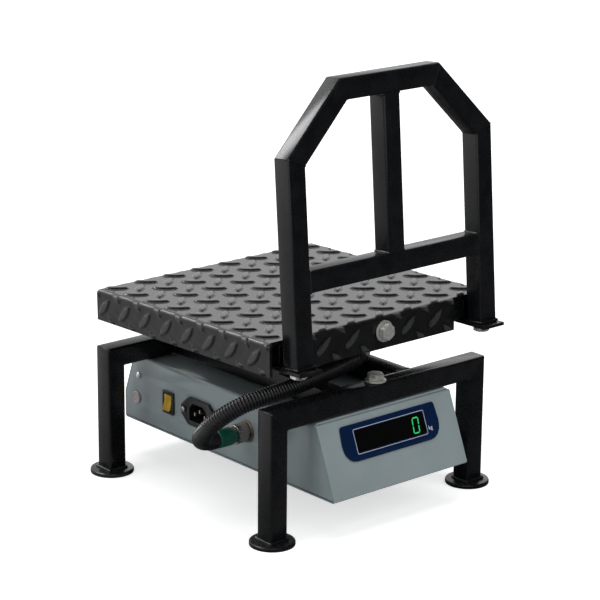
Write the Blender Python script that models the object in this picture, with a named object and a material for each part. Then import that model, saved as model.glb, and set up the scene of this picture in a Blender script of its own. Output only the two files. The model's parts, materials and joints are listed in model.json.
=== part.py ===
"""Small-animal weighing scale: a welded tube stand, a weighing pan on a single-point load cell,
a guard frame bolted to the pan's front, and a sheet-steel indicator box hung under the stand.

Metres, +Z up. The origin is on the floor, under the middle of the box, and the stand's middle is a
little behind it. The display faces -Y, and the switch, inlet and load-cell socket are on the -X wall.
Needs Blender 4.5: blender --background --python part.py
"""

from math import cos, pi, radians, sin, tan

import bmesh
import bpy
from mathutils import Matrix, Vector

MM = 0.001
GAP = 0.3 * MM  # clearance left wherever two pieces seat on each other

# ---------------------------------------------------------------------------------------------
# Driving dimensions
# ---------------------------------------------------------------------------------------------

# Square steel tube, used for the stand, the pan's frame and the guard
TUBE = 19 * MM
TUBE_WALL = 1.5 * MM
TUBE_CORNER = 2.4 * MM

# Stand
STAND_WIDTH = 251 * MM
STAND_DEPTH = 247 * MM
STAND_HEIGHT = 121 * MM
STAND_SETBACK = 4.45 * MM
FOOT_DIAMETER = 40 * MM
FOOT_THICKNESS = 4 * MM
FOOT_EDGE = 0.8 * MM
RAIL_SPACING = 81 * MM

# Load cell and the plates that carry it
CELL_LENGTH = 130 * MM
CELL_WIDTH = 30 * MM
CELL_HEIGHT = 22 * MM
CELL_BORE = 14 * MM
CELL_BORE_SPACING = 24 * MM
CELL_SLOT = 4 * MM
CELL_PLATE_LENGTH = 42 * MM
CELL_PLATE_WIDTH = 108 * MM
CELL_PLATE_LAP = 4 * MM
CELL_PLATE_CORNER = (21 * MM, 20 * MM)  # what is cut off each front corner, along X and Y
CELL_LOWER_PLATE = 5 * MM
CELL_PAD_INSET = 1 * MM
CELL_THREAD_CLEARANCE = 0.4 * MM
CELL_SCREW_PITCH = 25 * MM
CELL_SCREW_END = 9 * MM
CELL_SCREW = 6 * MM
CELL_SCREW_HEAD = 10 * MM
CELL_SCREW_HEAD_HEIGHT = 6 * MM
CELL_SCREW_DEPTH = 14 * MM

# Weighing pan, folded from chequered plate
PAN_WIDTH = 255 * MM
PAN_DEPTH = 240 * MM
PAN_SHEET = 3 * MM
PAN_FLANGE = 28.5 * MM
PAN_BEND = 3.5 * MM
PAN_CORNER = 1.2 * MM
PAN_RISE = 31 * MM  # from the load cell's top up to the middle of the pan's top
PAN_CENTRE_X = -2 * MM
PAN_CENTRE_Y = -5 * MM
PAN_SAG = radians(1.45)  # the pan's rear edge sits low, because the cell carries it at one end
PAN_NOTCH = 43 * MM  # length cut out of the front flange at each corner, for the guard's bars
PAN_CORNER_SLIT = 0.8 * MM

# Raised bars of the chequered plate
BAR_LENGTH = 26.5 * MM
BAR_WIDTH = 9 * MM
BAR_HEIGHT = 1.7 * MM
BAR_PITCH_X = 32.5 * MM
BAR_PITCH_Y = 29.9 * MM
BAR_ROOT = 0.6 * MM
BAR_OFFSET = (15.6 * MM, -10.6 * MM)
# The pattern doesn't carry on over the bends: how far it is moved on each flange of the unfolded sheet.
BAR_SLIP_LEFT = (3.9 * MM, 0.0)
BAR_SLIP_RIGHT = (-3.9 * MM, 0.0)
BAR_SLIP_FRONT = (-3 * MM, 12 * MM)
BAR_SLIP_REAR = (0.0, -3.9 * MM)
BAR_EDGE = 0.6 * MM  # plain margin between the bars and a cut edge
BAR_FOLD_MARGIN = 0.2 * MM  # plain margin between the bars and the line where a fold starts
BAR_BOLT_SPACE = 13 * MM
BAR_LEAST = 3 * MM  # a bar that would reach into a side by less than this is left out
BAR_GRID = 6
BAR_RIDGE = 0.5  # share of the bar's length that its ridge takes

# Frame under the pan
FRAME_WIDTH = 232 * MM
FLAT_BAR_WIDTH = 25 * MM
FLAT_BAR_THICKNESS = 3 * MM
FLAT_BAR_REACH = 25.9 * MM
FLAT_BAR_LENGTH = 120 * MM
CELL_UPPER_PLATE = 4.6 * MM
CELL_UPPER_PLATE_WIDTH = 60 * MM

# Guard frame
GUARD_WIDTH = 232 * MM
GUARD_HEIGHT = 235.5 * MM
GUARD_TOP_WIDTH = 113 * MM
GUARD_CROSSBAR_TOP = 81.5 * MM
GUARD_LEAN = radians(3.1)
GUARD_AXIS_REACH = 10.1 * MM  # from the pan's front flange out to the legs' centre line

# Indicator box
BOX_WIDTH = 157 * MM
BOX_HEIGHT = 64.4 * MM
BOX_OVERHANG = 23.55 * MM  # half of what the box is longer than the stand
BOX_SHEET = 1.2 * MM
BOX_LEAN = radians(22)
BOX_REAR_LEAN = radians(20)
BOX_REAR_KNEE = 25.7 * MM  # height of the rear panel's bend above the box's bottom
BOX_BEND = 2 * MM
BOX_CORNER = 4 * MM
BOX_WALL_LIFT = 2.2 * MM
BOX_LIP = 4 * MM

# Hexagon bolts: thread, width across flats, head height, washer diameter and washer thickness
M8 = (8 * MM, 13 * MM, 5.3 * MM, 19 * MM, 1.6 * MM)
WELD_NUT_LENGTH = 8 * MM
RIVET_NUT_LENGTH = 10 * MM
GUARD_PLUG = 6 * MM
GUARD_PLUG_INSET = 1.5 * MM
BOLT_CLEARANCE = 0.5 * MM
BOLT_END = 3 * MM

# Display on the front panel
DISPLAY_WIDTH = 113 * MM
DISPLAY_HEIGHT = 32.2 * MM
DISPLAY_DROP = 7.66 * MM  # from the panel's top edge down to the display's
DISPLAY_TAPER = 1.5 * MM
DISPLAY_TOP_CORNER = 3 * MM
DISPLAY_LOW_CORNER = 13 * MM
DISPLAY_THICKNESS = 0.8 * MM
WINDOW_WIDTH = 80 * MM
WINDOW_HEIGHT = 18.8 * MM
WINDOW_RISE = 0.4 * MM  # from the middle of the display up to the middle of its window
WINDOW_THICKNESS = 3 * MM
WINDOW_CLEARANCE = 0.3 * MM
DIGIT_BLOCK_DEPTH = 8 * MM
DIGIT_BLOCK_MARGIN = 3 * MM

# Left wall: places are (distance towards the rear, height above the box's bottom)
SWITCH_AT = (75.9 * MM, 31 * MM)
SWITCH_WIDTH = 15.9 * MM
SWITCH_HEIGHT = 20.8 * MM
SWITCH_FLANGE = 1.8 * MM
SWITCH_BODY_WIDTH = 13 * MM
SWITCH_BODY_HEIGHT = 18.6 * MM
SWITCH_BODY_DEPTH = 12 * MM
SWITCH_BODY_WALL = 1 * MM
ROCKER_WIDTH = 10.2 * MM
ROCKER_HALF = 7.7 * MM
ROCKER_THROW = radians(20)
ROCKER_CREST = 1.6 * MM
ROCKER_PIVOT_DEPTH = 1.5 * MM

INLET_AT = (30.5 * MM, 32.1 * MM)
INLET_WIDTH = 48.3 * MM
INLET_HEIGHT = 25.8 * MM
INLET_FLAT = 27.8 * MM
INLET_EAR = 8 * MM
INLET_FLANGE = 3 * MM
INLET_MOUTH_WIDTH = 24.4 * MM
INLET_MOUTH_HEIGHT = 16.6 * MM
INLET_MOUTH_CHAMFER = 5 * MM
INLET_DEPTH = 17 * MM
INLET_WALL = 1.6 * MM
INLET_SCREW_PITCH = 40 * MM
INLET_SCREW = 3.2 * MM
INLET_SCREW_HEAD = 5.6 * MM
PIN_WIDTH = 4 * MM
PIN_THICKNESS = 2 * MM
PIN_PITCH = 14 * MM
PIN_RISE = 4 * MM
PIN_RECESS = 2 * MM

CONNECTOR_AT = (-34.6 * MM, 33.7 * MM)
CONNECTOR_THREAD = 15 * MM
CONNECTOR_BORE = 11 * MM
CONNECTOR_REACH = 9.5 * MM
CONNECTOR_INNER_REACH = 12 * MM
CONNECTOR_BORE_DEPTH = 19.5 * MM
CONNECTOR_FLANGE = 20 * MM
CONNECTOR_FLANGE_THICKNESS = 2 * MM
CONNECTOR_NUT = 18 * MM
CONNECTOR_NUT_THICKNESS = 3.6 * MM
NUT_NOTCH = 2.5 * MM
RING_DIAMETER = 18 * MM
RING_START = 4.2 * MM
RING_LENGTH = 10.5 * MM
RING_COLLAR = 1.6 * MM
RING_BEVEL = 0.5 * MM
RING_FLUTES = 20
RING_FLUTE_DEPTH = 0.35 * MM
PLUG_NECK = 13 * MM
PLUG_SHOULDER = 14.6 * MM
PLUG_BODY = 14 * MM
PLUG_GRIP = 16.2 * MM
PLUG_GRIP_START = 18.5 * MM
PLUG_GRIP_LENGTH = 15.5 * MM
PLUG_GRIP_EDGE = 0.6 * MM

VENT_PLUG_AT = (125.3 * MM, 23.1 * MM)
VENT_PLUG_DIAMETER = 11.8 * MM
VENT_PLUG_RIM = 1.2 * MM
WALL_SCREW_AT = (121.7 * MM, 45.4 * MM)
WALL_SCREW_HEAD = 6.5 * MM
WALL_SCREW_SHANK = 3 * MM
WALL_SCREW_LENGTH = 8 * MM

# Circuit board inside the box
MAIN_BOARD_LENGTH = 120 * MM
MAIN_BOARD_WIDTH = 90 * MM
MAIN_BOARD_AT = (15 * MM, 35 * MM)
BOARD_THICKNESS = 1.6 * MM
BOARD_BOSS = 6 * MM
BOARD_BOSS_HEIGHT = 5 * MM

# Corrugated conduit from the connector to the load cell
CONDUIT_DIAMETER = 15.8 * MM
GLAND_X = 4 * MM
GLAND_BORE = 12.8 * MM
GLAND_BODY = 18.2 * MM
GLAND_LENGTH = 13 * MM
GLAND_FLANGE = 20 * MM
GLAND_FLANGE_THICKNESS = 4 * MM

# ---------------------------------------------------------------------------------------------
# Sizes that follow
# ---------------------------------------------------------------------------------------------

LEG_X = (STAND_WIDTH - TUBE) / 2
LEG_Y = (STAND_DEPTH - TUBE) / 2
BAR_Z = STAND_HEIGHT - TUBE / 2
BOX_TOP = STAND_HEIGHT - TUBE - GAP
BOX_BOTTOM = BOX_TOP - BOX_HEIGHT
BOX_LENGTH = STAND_DEPTH + 2 * BOX_OVERHANG
PANEL_LENGTH = BOX_HEIGHT / cos(BOX_LEAN)
DISPLAY_HIGH = PANEL_LENGTH - DISPLAY_DROP
DISPLAY_LOW = DISPLAY_HIGH - DISPLAY_HEIGHT
WINDOW_CENTRE = (DISPLAY_LOW + DISPLAY_HIGH) / 2 + WINDOW_RISE
CELL_BOTTOM = STAND_HEIGHT + GAP + CELL_LOWER_PLATE + GAP
CELL_TOP = CELL_BOTTOM + CELL_HEIGHT
PAN_TOP = CELL_TOP + PAN_RISE
PAN_INNER_DEPTH = PAN_DEPTH - 2 * PAN_SHEET
FRAME_TOP = -PAN_SHEET - GAP
FRAME_Z = FRAME_TOP - TUBE / 2
FRAME_BOTTOM = FRAME_TOP - TUBE
FLAT_BAR_TOP = FRAME_BOTTOM - GAP
FLAT_BAR_BOTTOM = FLAT_BAR_TOP - FLAT_BAR_THICKNESS
PAN_BOLT_Z = FRAME_Z
SIDE_X = (FRAME_WIDTH - TUBE) / 2
FRAME_END_Y = PAN_INNER_DEPTH / 2 - GAP - TUBE / 2


# ---------------------------------------------------------------------------------------------
# Tools
# ---------------------------------------------------------------------------------------------


def clear_scene():
    for obj in list(bpy.data.objects):
        bpy.data.objects.remove(obj)


def material(name, colour, roughness, metallic=0.0):
    made = bpy.data.materials.new(name)
    made.use_nodes = True
    shader = made.node_tree.nodes["Principled BSDF"]
    shader.inputs["Base Color"].default_value = (*colour, 1.0)
    shader.inputs["Roughness"].default_value = roughness
    shader.inputs["Metallic"].default_value = metallic
    return made


def place(name, data, look=None, parent=None, at=(0, 0, 0)):
    obj = bpy.data.objects.new(name, data)
    bpy.context.scene.collection.objects.link(obj)
    obj.parent = parent
    obj.location = at
    if look:
        obj.data.materials.append(look)
    return obj


def anchor(name, at, axes, parent=None):
    """An empty whose local X, Y and Z run along the three given directions."""
    obj = bpy.data.objects.new(name, None)
    bpy.context.scene.collection.objects.link(obj)
    obj.parent = parent
    turn = Matrix([Vector(axis) for axis in axes]).transposed().to_4x4()
    obj.matrix_basis = Matrix.Translation(Vector(at)) @ turn
    return obj


def finished(mesh_tool, name, look=None, parent=None, at=(0, 0, 0), smooth=False):
    """Turns a bmesh into an object, with its faces pointing outwards."""
    bmesh.ops.recalc_face_normals(mesh_tool, faces=mesh_tool.faces)
    mesh = bpy.data.meshes.new(name)
    mesh_tool.to_mesh(mesh)
    mesh_tool.free()
    if smooth:
        mesh.shade_smooth()
        mesh.set_sharp_from_angle(angle=radians(35))
    return place(name, mesh, look, parent, at)


def add_loft(tool, loops, ring=False):
    """Skins a stack of point loops. A ring joins its last loop to its first; otherwise both ends close."""
    rows = [[tool.verts.new(point) for point in loop] for loop in loops]
    pairs = list(zip(rows, rows[1:]))
    if ring:
        pairs.append((rows[-1], rows[0]))
    for low, high in pairs:
        for i in range(len(low)):
            j = (i + 1) % len(low)
            tool.faces.new((low[i], low[j], high[j], high[i]))
    if not ring:
        tool.faces.new(rows[0][::-1])
        tool.faces.new(rows[-1])


def add_box(tool, low, high):
    corners = [(low[0], low[1]), (high[0], low[1]), (high[0], high[1]), (low[0], high[1])]
    add_loft(tool, [[(x, y, z) for x, y in corners] for z in (low[2], high[2])])


def circle(radius, z, centre=(0, 0), segments=24):
    steps = [2 * pi * i / segments for i in range(segments)]
    return [(centre[0] + radius * cos(a), centre[1] + radius * sin(a), z) for a in steps]


def hexagon(flats, z, centre=(0, 0), segments=12):
    """A hexagon drawn with the same number of points as a circle of that many segments."""
    points = []
    for i in range(segments):
        angle = 2 * pi * i / segments
        off_flat = (angle + pi / 6) % (pi / 3) - pi / 6
        reach = flats / 2 / cos(off_flat)
        points.append((centre[0] + reach * cos(angle), centre[1] + reach * sin(angle), z))
    return points


def filleted(corners, steps=3):
    """The outline of a polygon of (x, y, radius) corners, each rounded by an arc of its radius."""
    points = []
    for i, (x, y, radius) in enumerate(corners):
        corner = Vector((x, y))
        before = (Vector(corners[i - 1][:2]) - corner).normalized()
        after = (Vector(corners[(i + 1) % len(corners)][:2]) - corner).normalized()
        if radius <= 0:
            points.append(tuple(corner))
            continue
        half = before.angle(after) / 2
        centre = corner + (before + after).normalized() * radius / sin(half)
        start = corner + before * radius / tan(half) - centre
        end = corner + after * radius / tan(half) - centre
        sweep = start.angle_signed(end)
        for k in range(steps + 1):
            points.append(tuple(centre + Matrix.Rotation(-sweep * k / steps, 2) @ start))
    return points


def rounded_rectangle(width, height, radius, centre=(0, 0), steps=3):
    x, y = width / 2, height / 2
    corners = [(-x, -y), (x, -y), (x, y), (-x, y)]
    return filleted([(centre[0] + a, centre[1] + b, radius) for a, b in corners], steps)


def prism(outline, low, high):
    """Two loops of an outline, at two heights along local Z."""
    return [[(x, y, z) for x, y in outline] for z in (low, high)]


def along_x(outline, low, high):
    """Two loops of an outline in Y and Z, at two places along X."""
    return [[(x, y, z) for y, z in outline] for x in (low, high)]


def cutter(tool, name, parent=None, at=(0, 0, 0)):
    obj = finished(tool, name, None, parent, at)
    obj.hide_render = True
    obj.display_type = "WIRE"
    return obj


def cut(obj, tool_object, operation="DIFFERENCE"):
    step = obj.modifiers.new(tool_object.name, "BOOLEAN")
    step.operation = operation
    step.solver = "EXACT"
    step.object = tool_object


def square_tube(name, start, end, look, parent=None, start_cut=None, end_cut=None, side=(0, 1, 0)):
    """A hollow square tube along the line from start to end. Each end is cut by the plane through
    that end point whose normal is given, and by a square cut where none is."""
    start, end = Vector(start), Vector(end)
    axis = (end - start).normalized()
    across = Vector(side)
    upward = axis.cross(across)
    cuts = [(start, Vector(start_cut or axis), 1), (end, Vector(end_cut or axis), -1)]

    def section(size, radius, plane_point, plane_normal, inward):
        normal = plane_normal.normalized()
        normal *= inward if normal.dot(axis) > 0 else -inward
        seat = plane_point + normal * GAP / 2
        points = []
        for a, b in rounded_rectangle(size, size, radius):
            corner = start + across * a + upward * b
            points.append(corner + axis * ((seat - corner).dot(normal) / axis.dot(normal)))
        return points

    inner = TUBE - 2 * TUBE_WALL
    inner_corner = TUBE_CORNER - TUBE_WALL
    outside = [section(TUBE, TUBE_CORNER, *one) for one in cuts]
    inside = [section(inner, inner_corner, *one) for one in cuts]
    tool = bmesh.new()
    add_loft(tool, [outside[0], outside[1], inside[1], inside[0]], ring=True)
    return finished(tool, name, look, parent)


def make_bolt(name, at, down, length, size, look, parent, washer=False):
    """A hexagon bolt whose head stands at a point, on a washer if it has one. Its shank runs the given
    length along a direction."""
    thread, flats, head, washer_diameter, washer_thickness = size
    segments = 12
    base = -GAP - (washer_thickness + GAP if washer else 0)
    turn = Vector((0, 0, 1)).rotation_difference(Vector(down)).to_matrix()
    chamfer = head * 0.12
    loops = [
        circle(flats / 2, base - head, segments=segments),
        hexagon(flats, base - head + chamfer, segments=segments),
        hexagon(flats, base, segments=segments),
        circle(thread / 2, base, segments=segments),
        circle(thread / 2, length, segments=segments),
    ]
    tool = bmesh.new()
    add_loft(tool, [[turn @ Vector(p) for p in loop] for loop in loops])
    finished(tool, f"{name}_bolt", look, parent, at)
    if not washer:
        return
    hole = thread / 2 + GAP
    top = -GAP - washer_thickness
    loops = [circle(washer_diameter / 2, z) for z in (top, -GAP)]
    loops += [circle(hole, z) for z in (-GAP, top)]
    tool = bmesh.new()
    add_loft(tool, [[turn @ Vector(p) for p in loop] for loop in loops], ring=True)
    finished(tool, f"{name}_washer", look, parent, at, smooth=True)


def make_cap_screw(name, at, down, length, look, parent):
    """A cylinder-head screw whose head stands at a point and whose shank runs along a direction."""
    turn = Vector((0, 0, 1)).rotation_difference(Vector(down)).to_matrix()
    head, shank = CELL_SCREW_HEAD / 2, CELL_SCREW / 2
    loops = [
        circle(head, -GAP - CELL_SCREW_HEAD_HEIGHT, segments=16),
        circle(head, -GAP, segments=16),
        circle(shank, -GAP, segments=16),
        circle(shank, length, segments=16),
    ]
    tool = bmesh.new()
    add_loft(tool, [[turn @ Vector(p) for p in loop] for loop in loops])
    finished(tool, name, look, parent, at, smooth=True)


def boss(name, at, direction, diameter, length, parent=None, flats=False):
    """A round or hexagonal boss that a Boolean joins to the sheet or wall it is fixed on."""
    turn = Vector((0, 0, 1)).rotation_difference(Vector(direction)).to_matrix()
    outline = hexagon if flats else circle
    loops = [outline(diameter / 2 if not flats else diameter, z, segments=12) for z in (0, length)]
    tool = bmesh.new()
    add_loft(tool, [[turn @ Vector(p) for p in loop] for loop in loops])
    return cutter(tool, name, parent, at)


def drill(name, at, direction, diameter, reach, parent=None, segments=16):
    """A cylinder that cuts a hole both ways from a point along a direction."""
    turn = Vector((0, 0, 1)).rotation_difference(Vector(direction)).to_matrix()
    tool = bmesh.new()
    loops = [circle(diameter / 2, z, segments=segments) for z in (-reach, reach)]
    add_loft(tool, [[Vector(at) + turn @ Vector(p) for p in loop] for loop in loops])
    return cutter(tool, name, parent)


# ---------------------------------------------------------------------------------------------
# Stand: two mitred arches on disc feet, joined by two rails
# ---------------------------------------------------------------------------------------------


def make_stand(paint, zinc, stand):
    for end_name, y in (("front", -LEG_Y), ("rear", LEG_Y)):
        for side_name, x in (("left", -LEG_X), ("right", LEG_X)):
            mitre = (1, 0, 1) if x < 0 else (-1, 0, 1)
            start, end = (x, y, FOOT_THICKNESS + GAP / 2), (x, y, BAR_Z)
            square_tube(f"{end_name}_{side_name}_leg", start, end, paint, stand, end_cut=mitre)
            tool = bmesh.new()
            radius = FOOT_DIAMETER / 2
            loops = [
                circle(radius, 0, segments=32),
                circle(radius, FOOT_THICKNESS - FOOT_EDGE, segments=32),
                circle(radius - FOOT_EDGE, FOOT_THICKNESS, segments=32),
            ]
            add_loft(tool, loops)
            finished(tool, f"{end_name}_{side_name}_foot", paint, stand, (x, y, 0), smooth=True)
        start, end = (-LEG_X, y, BAR_Z), (LEG_X, y, BAR_Z)
        mitres = {"start_cut": (1, 0, 1), "end_cut": (-1, 0, 1)}
        bar = square_tube(f"{end_name}_bar", start, end, paint, stand, **mitres)
        hole = M8[0] + 2 * BOLT_CLEARANCE
        cut(bar, drill(f"{end_name}_bar_hole", (0, y, BAR_Z), (0, 0, 1), hole, TUBE, stand))
        length = STAND_HEIGHT - BOX_TOP + RIVET_NUT_LENGTH + BOLT_END
        at = (0, y, STAND_HEIGHT)
        make_bolt(f"hanger_{end_name}", at, (0, 0, -1), length, M8, zinc, stand, washer=True)
    rail_end = LEG_Y - TUBE / 2 - GAP / 2
    for side_name, x in (("left", -RAIL_SPACING / 2), ("right", RAIL_SPACING / 2)):
        start, end = (x, -rail_end, BAR_Z), (x, rail_end, BAR_Z)
        square_tube(f"{side_name}_rail", start, end, paint, stand, side=(1, 0, 0))


# ---------------------------------------------------------------------------------------------
# Load cell: a bar with a double bore, fixed to the stand at the front and to the pan at the rear
# ---------------------------------------------------------------------------------------------


def cell_screw_places(end):
    """The two screw places along Y at the cell's front (-1) or rear (+1) end."""
    outer = CELL_LENGTH / 2 - CELL_SCREW_END
    return [end * outer, end * (outer - CELL_SCREW_PITCH)]


def drill_row(plate, places, level, parent):
    """Clearance holes for the cell's screws."""
    hole = CELL_SCREW + 2 * BOLT_CLEARANCE
    for number, y in enumerate(places):
        name = f"{plate.name}_hole_{number}"
        cut(plate, drill(name, (0, y, level), (0, 0, 1), hole, TUBE, parent))


def make_cell(steel, aluminium, dark_steel, stand):
    half = CELL_PLATE_WIDTH / 2
    front = -CELL_LENGTH / 2
    low_z = STAND_HEIGHT + GAP
    edge = front - CELL_PLATE_LAP
    narrow, shoulder = half - CELL_PLATE_CORNER[0], edge + CELL_PLATE_CORNER[1]
    outline = [(-narrow, edge), (narrow, edge), (half, shoulder), (half, edge + CELL_PLATE_LENGTH)]
    outline += [(-half, edge + CELL_PLATE_LENGTH), (-half, shoulder)]
    places = cell_screw_places(-1)
    tool = bmesh.new()
    add_loft(tool, [[(x, y, z) for x, y in outline] for z in (low_z, low_z + CELL_LOWER_PLATE)])
    plate = finished(tool, "cell_lower_plate", steel, stand)
    drill_row(plate, places, low_z, stand)

    tool = bmesh.new()
    x, y = CELL_WIDTH / 2, CELL_LENGTH / 2
    add_box(tool, (-x, -y, CELL_BOTTOM), (x, y, CELL_TOP))
    cell = finished(tool, "load_cell", aluminium, stand)
    middle = (CELL_BOTTOM + CELL_TOP) / 2
    for number, offset in enumerate((-CELL_BORE_SPACING / 2, CELL_BORE_SPACING / 2)):
        at = (0, offset, middle)
        cut(cell, drill(f"cell_bore_{number}", at, (1, 0, 0), CELL_BORE, CELL_WIDTH, stand, 20))
    tool = bmesh.new()
    reach, slot = CELL_BORE_SPACING / 2, CELL_SLOT / 2
    add_box(tool, (-CELL_WIDTH, -reach, middle - slot), (CELL_WIDTH, reach, middle + slot))
    cut(cell, cutter(tool, "cell_slot", stand))
    hole = CELL_SCREW + 2 * CELL_THREAD_CLEARANCE
    for end_name, end, face in (("front", -1, CELL_BOTTOM), ("rear", 1, CELL_TOP)):
        for number, at_y in enumerate(cell_screw_places(end)):
            name = f"cell_thread_{end_name}_{number}"
            cut(cell, drill(name, (0, at_y, face), (0, 0, 1), hole, CELL_SCREW_DEPTH + GAP, stand))

    length = CELL_BOTTOM - low_z + CELL_SCREW_DEPTH - 2 * MM
    for number, at_y in enumerate(places, 1):
        name = f"cell_lower_screw_{number}"
        make_cap_screw(name, (0, at_y, low_z), (0, 0, 1), length, dark_steel, stand)


# ---------------------------------------------------------------------------------------------
# Weighing pan
# ---------------------------------------------------------------------------------------------


def add_raised_bar(tool, centre, direction, up):
    """One raised bar: a pointed oval that rises to a short ridge, with its root inside the plate."""
    centre, up = Vector(centre), Vector(up)
    along = Vector(direction).normalized()
    across = up.cross(along)
    spread = 1 + BAR_ROOT / BAR_HEIGHT
    ridge_half = BAR_LENGTH / 2 * BAR_RIDGE
    tip = ridge_half + (BAR_LENGTH / 2 - ridge_half) * spread
    belly = BAR_WIDTH / 2 * spread
    oval = [(share * tip, (1 - share * share) * belly) for share in (-1, -0.62, 0, 0.62, 1)]
    oval += [(a, -b) for a, b in reversed(oval[1:-1])]
    root = centre - up * BAR_ROOT
    base = [tool.verts.new(root + along * a + across * b) for a, b in oval]
    crest = centre + up * BAR_HEIGHT
    ridge = [tool.verts.new(crest + along * s) for s in (-ridge_half, ridge_half)]
    tool.faces.new(base)
    for i, corner in enumerate(base):
        j = (i + 1) % len(base)
        first, second = ridge[oval[i][0] > 0], ridge[oval[j][0] > 0]
        tool.faces.new((corner, base[j], second))
        if first is not second:
            tool.faces.new((corner, second, first))


def bar_reach(u, v, slant, point):
    """Distance from a point to the centre line of the raised bar at (u, v)."""
    along = Vector((1, slant)).normalized()
    offset = Vector(point) - Vector((u, v))
    nearest = max(-BAR_LENGTH / 2, min(BAR_LENGTH / 2, offset.dot(along)))
    return (offset - along * nearest).length


def bar_grid(low, high, slip, keep_clear):
    """Places and slants of the raised bars that reach into a region of the unfolded sheet. Two grids
    of opposite slant interlock, half a pitch apart."""
    margin = BAR_LENGTH / 2 * sin(pi / 4) - BAR_LEAST
    for slant, shift in ((-1, 0.0), (1, 0.5)):
        for i in range(-BAR_GRID, BAR_GRID + 1):
            for j in range(-BAR_GRID, BAR_GRID + 1):
                u = (i + shift) * BAR_PITCH_X + BAR_OFFSET[0] + slip[0]
                v = (j + shift) * BAR_PITCH_Y + BAR_OFFSET[1] + slip[1]
                inside = low[0] - margin < u < high[0] + margin and low[1] - margin < v < high[1] + margin
                if inside and not (keep_clear and bar_reach(u, v, slant, keep_clear) < BAR_BOLT_SPACE):
                    yield u, v, slant


def add_bars(pan, name, low, high, axes, platform, slip=(0, 0), keep_clear=None):
    """Joins to the pan the raised bars of one flat side of it. The side is given by its region of the
    unfolded sheet, and by where that sheet's origin, U, V and outward directions lie."""
    origin, u_axis, v_axis, out = (Vector(axis) for axis in axes)
    bars = bmesh.new()
    for u, v, slant in bar_grid(low, high, slip, keep_clear):
        add_raised_bar(bars, origin + u_axis * u + v_axis * v, u_axis + v_axis * slant, out)
    at = (PAN_CENTRE_X, 0, 0)
    raised = cutter(bars, f"{name}_bars", platform, at)
    tool = bmesh.new()
    outline = [(low[0], low[1]), (high[0], low[1]), (high[0], high[1]), (low[0], high[1])]
    depth = 2 * BAR_HEIGHT
    loops = []
    for rise in (-depth, depth):
        loops.append([origin + u_axis * u + v_axis * v + out * rise for u, v in outline])
    add_loft(tool, loops)
    cut(raised, cutter(tool, f"{name}_side", platform, at), "INTERSECT")
    cut(pan, raised, "UNION")


def make_pan(plate, zinc, platform):
    tool = bmesh.new()
    x, y = PAN_WIDTH / 2, PAN_DEPTH / 2
    outline = rounded_rectangle(PAN_WIDTH, PAN_DEPTH, PAN_CORNER, steps=1)
    shrink = [(1 - cos(a), 1 - sin(a)) for a in (0, pi / 6, pi / 3, pi / 2)]
    loops = [[(px, py, -PAN_FLANGE) for px, py in outline]]
    for inward, drop in shrink:
        scale_x = (x - PAN_BEND * inward) / x
        scale_y = (y - PAN_BEND * inward) / y
        loops.append([(px * scale_x, py * scale_y, -PAN_BEND * drop) for px, py in outline])
    add_loft(tool, loops)
    at = (PAN_CENTRE_X, 0, 0)
    pan = finished(tool, "weighing_pan", plate, platform, at)

    clear = PAN_BEND + BAR_FOLD_MARGIN
    flat_x, flat_y = x - clear, y - clear
    near_x, near_y = x + clear, y + clear
    far_x, far_y = x + PAN_FLANGE - BAR_EDGE, y + PAN_FLANGE - BAR_EDGE
    side_y = y - 2 * PAN_CORNER
    end_x = x - PAN_NOTCH - BAR_EDGE
    level = ((0, 0, 0), (1, 0, 0), (0, 1, 0), (0, 0, 1))
    left = ((-x, 0, x), (0, 0, 1), (0, 1, 0), (-1, 0, 0))
    right = ((x, 0, x), (0, 0, -1), (0, 1, 0), (1, 0, 0))
    front = ((0, -y, y), (1, 0, 0), (0, 0, 1), (0, -1, 0))
    rear = ((0, y, y), (1, 0, 0), (0, 0, -1), (0, 1, 0))
    add_bars(pan, "top", (-flat_x, -flat_y), (flat_x, flat_y), level, platform)
    add_bars(pan, "left", (-far_x, -side_y), (-near_x, side_y), left, platform, BAR_SLIP_LEFT)
    add_bars(pan, "right", (near_x, -side_y), (far_x, side_y), right, platform, BAR_SLIP_RIGHT)
    bolt = (0, -y + PAN_BOLT_Z)
    low, high = (-end_x, -far_y), (end_x, -near_y)
    add_bars(pan, "front", low, high, front, platform, BAR_SLIP_FRONT, bolt)
    side_x = x - 2 * PAN_CORNER
    add_bars(pan, "rear", (-side_x, near_y), (side_x, far_y), rear, platform, BAR_SLIP_REAR)

    tool = bmesh.new()
    inner_x, inner_y = x - PAN_SHEET, y - PAN_SHEET
    add_box(tool, (-inner_x, -inner_y, -2 * PAN_FLANGE), (inner_x, inner_y, -PAN_SHEET))
    cut(pan, cutter(tool, "pan_hollow", platform, at))
    tool = bmesh.new()
    for side in (-1, 1):
        edges = (side * (x - PAN_BEND), side * (x - PAN_NOTCH))
        low = (min(edges), -y - PAN_SHEET, -2 * PAN_FLANGE)
        add_box(tool, low, (max(edges), -y + PAN_BEND, PAN_SHEET))
        edges = (side * (x - PAN_SHEET), side * (x - PAN_SHEET - PAN_CORNER_SLIT))
        low = (min(edges), inner_y - PAN_SHEET / 2, -2 * PAN_FLANGE)
        add_box(tool, low, (max(edges), y + PAN_SHEET, -PAN_BEND))
    cut(pan, cutter(tool, "pan_corner_cuts", platform, at))

    face = (PAN_CENTRE_X, -y, PAN_BOLT_Z)
    hole = M8[0] + 2 * BOLT_CLEARANCE
    cut(pan, drill("pan_bolt_hole", face, (0, 1, 0), hole, 2 * PAN_SHEET, platform))
    length = PAN_SHEET + GAP + TUBE + WELD_NUT_LENGTH + BOLT_END
    make_bolt("pan", face, (0, 1, 0), length, M8, zinc, platform, washer=True)


# ---------------------------------------------------------------------------------------------
# Frame under the pan
# ---------------------------------------------------------------------------------------------


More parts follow.
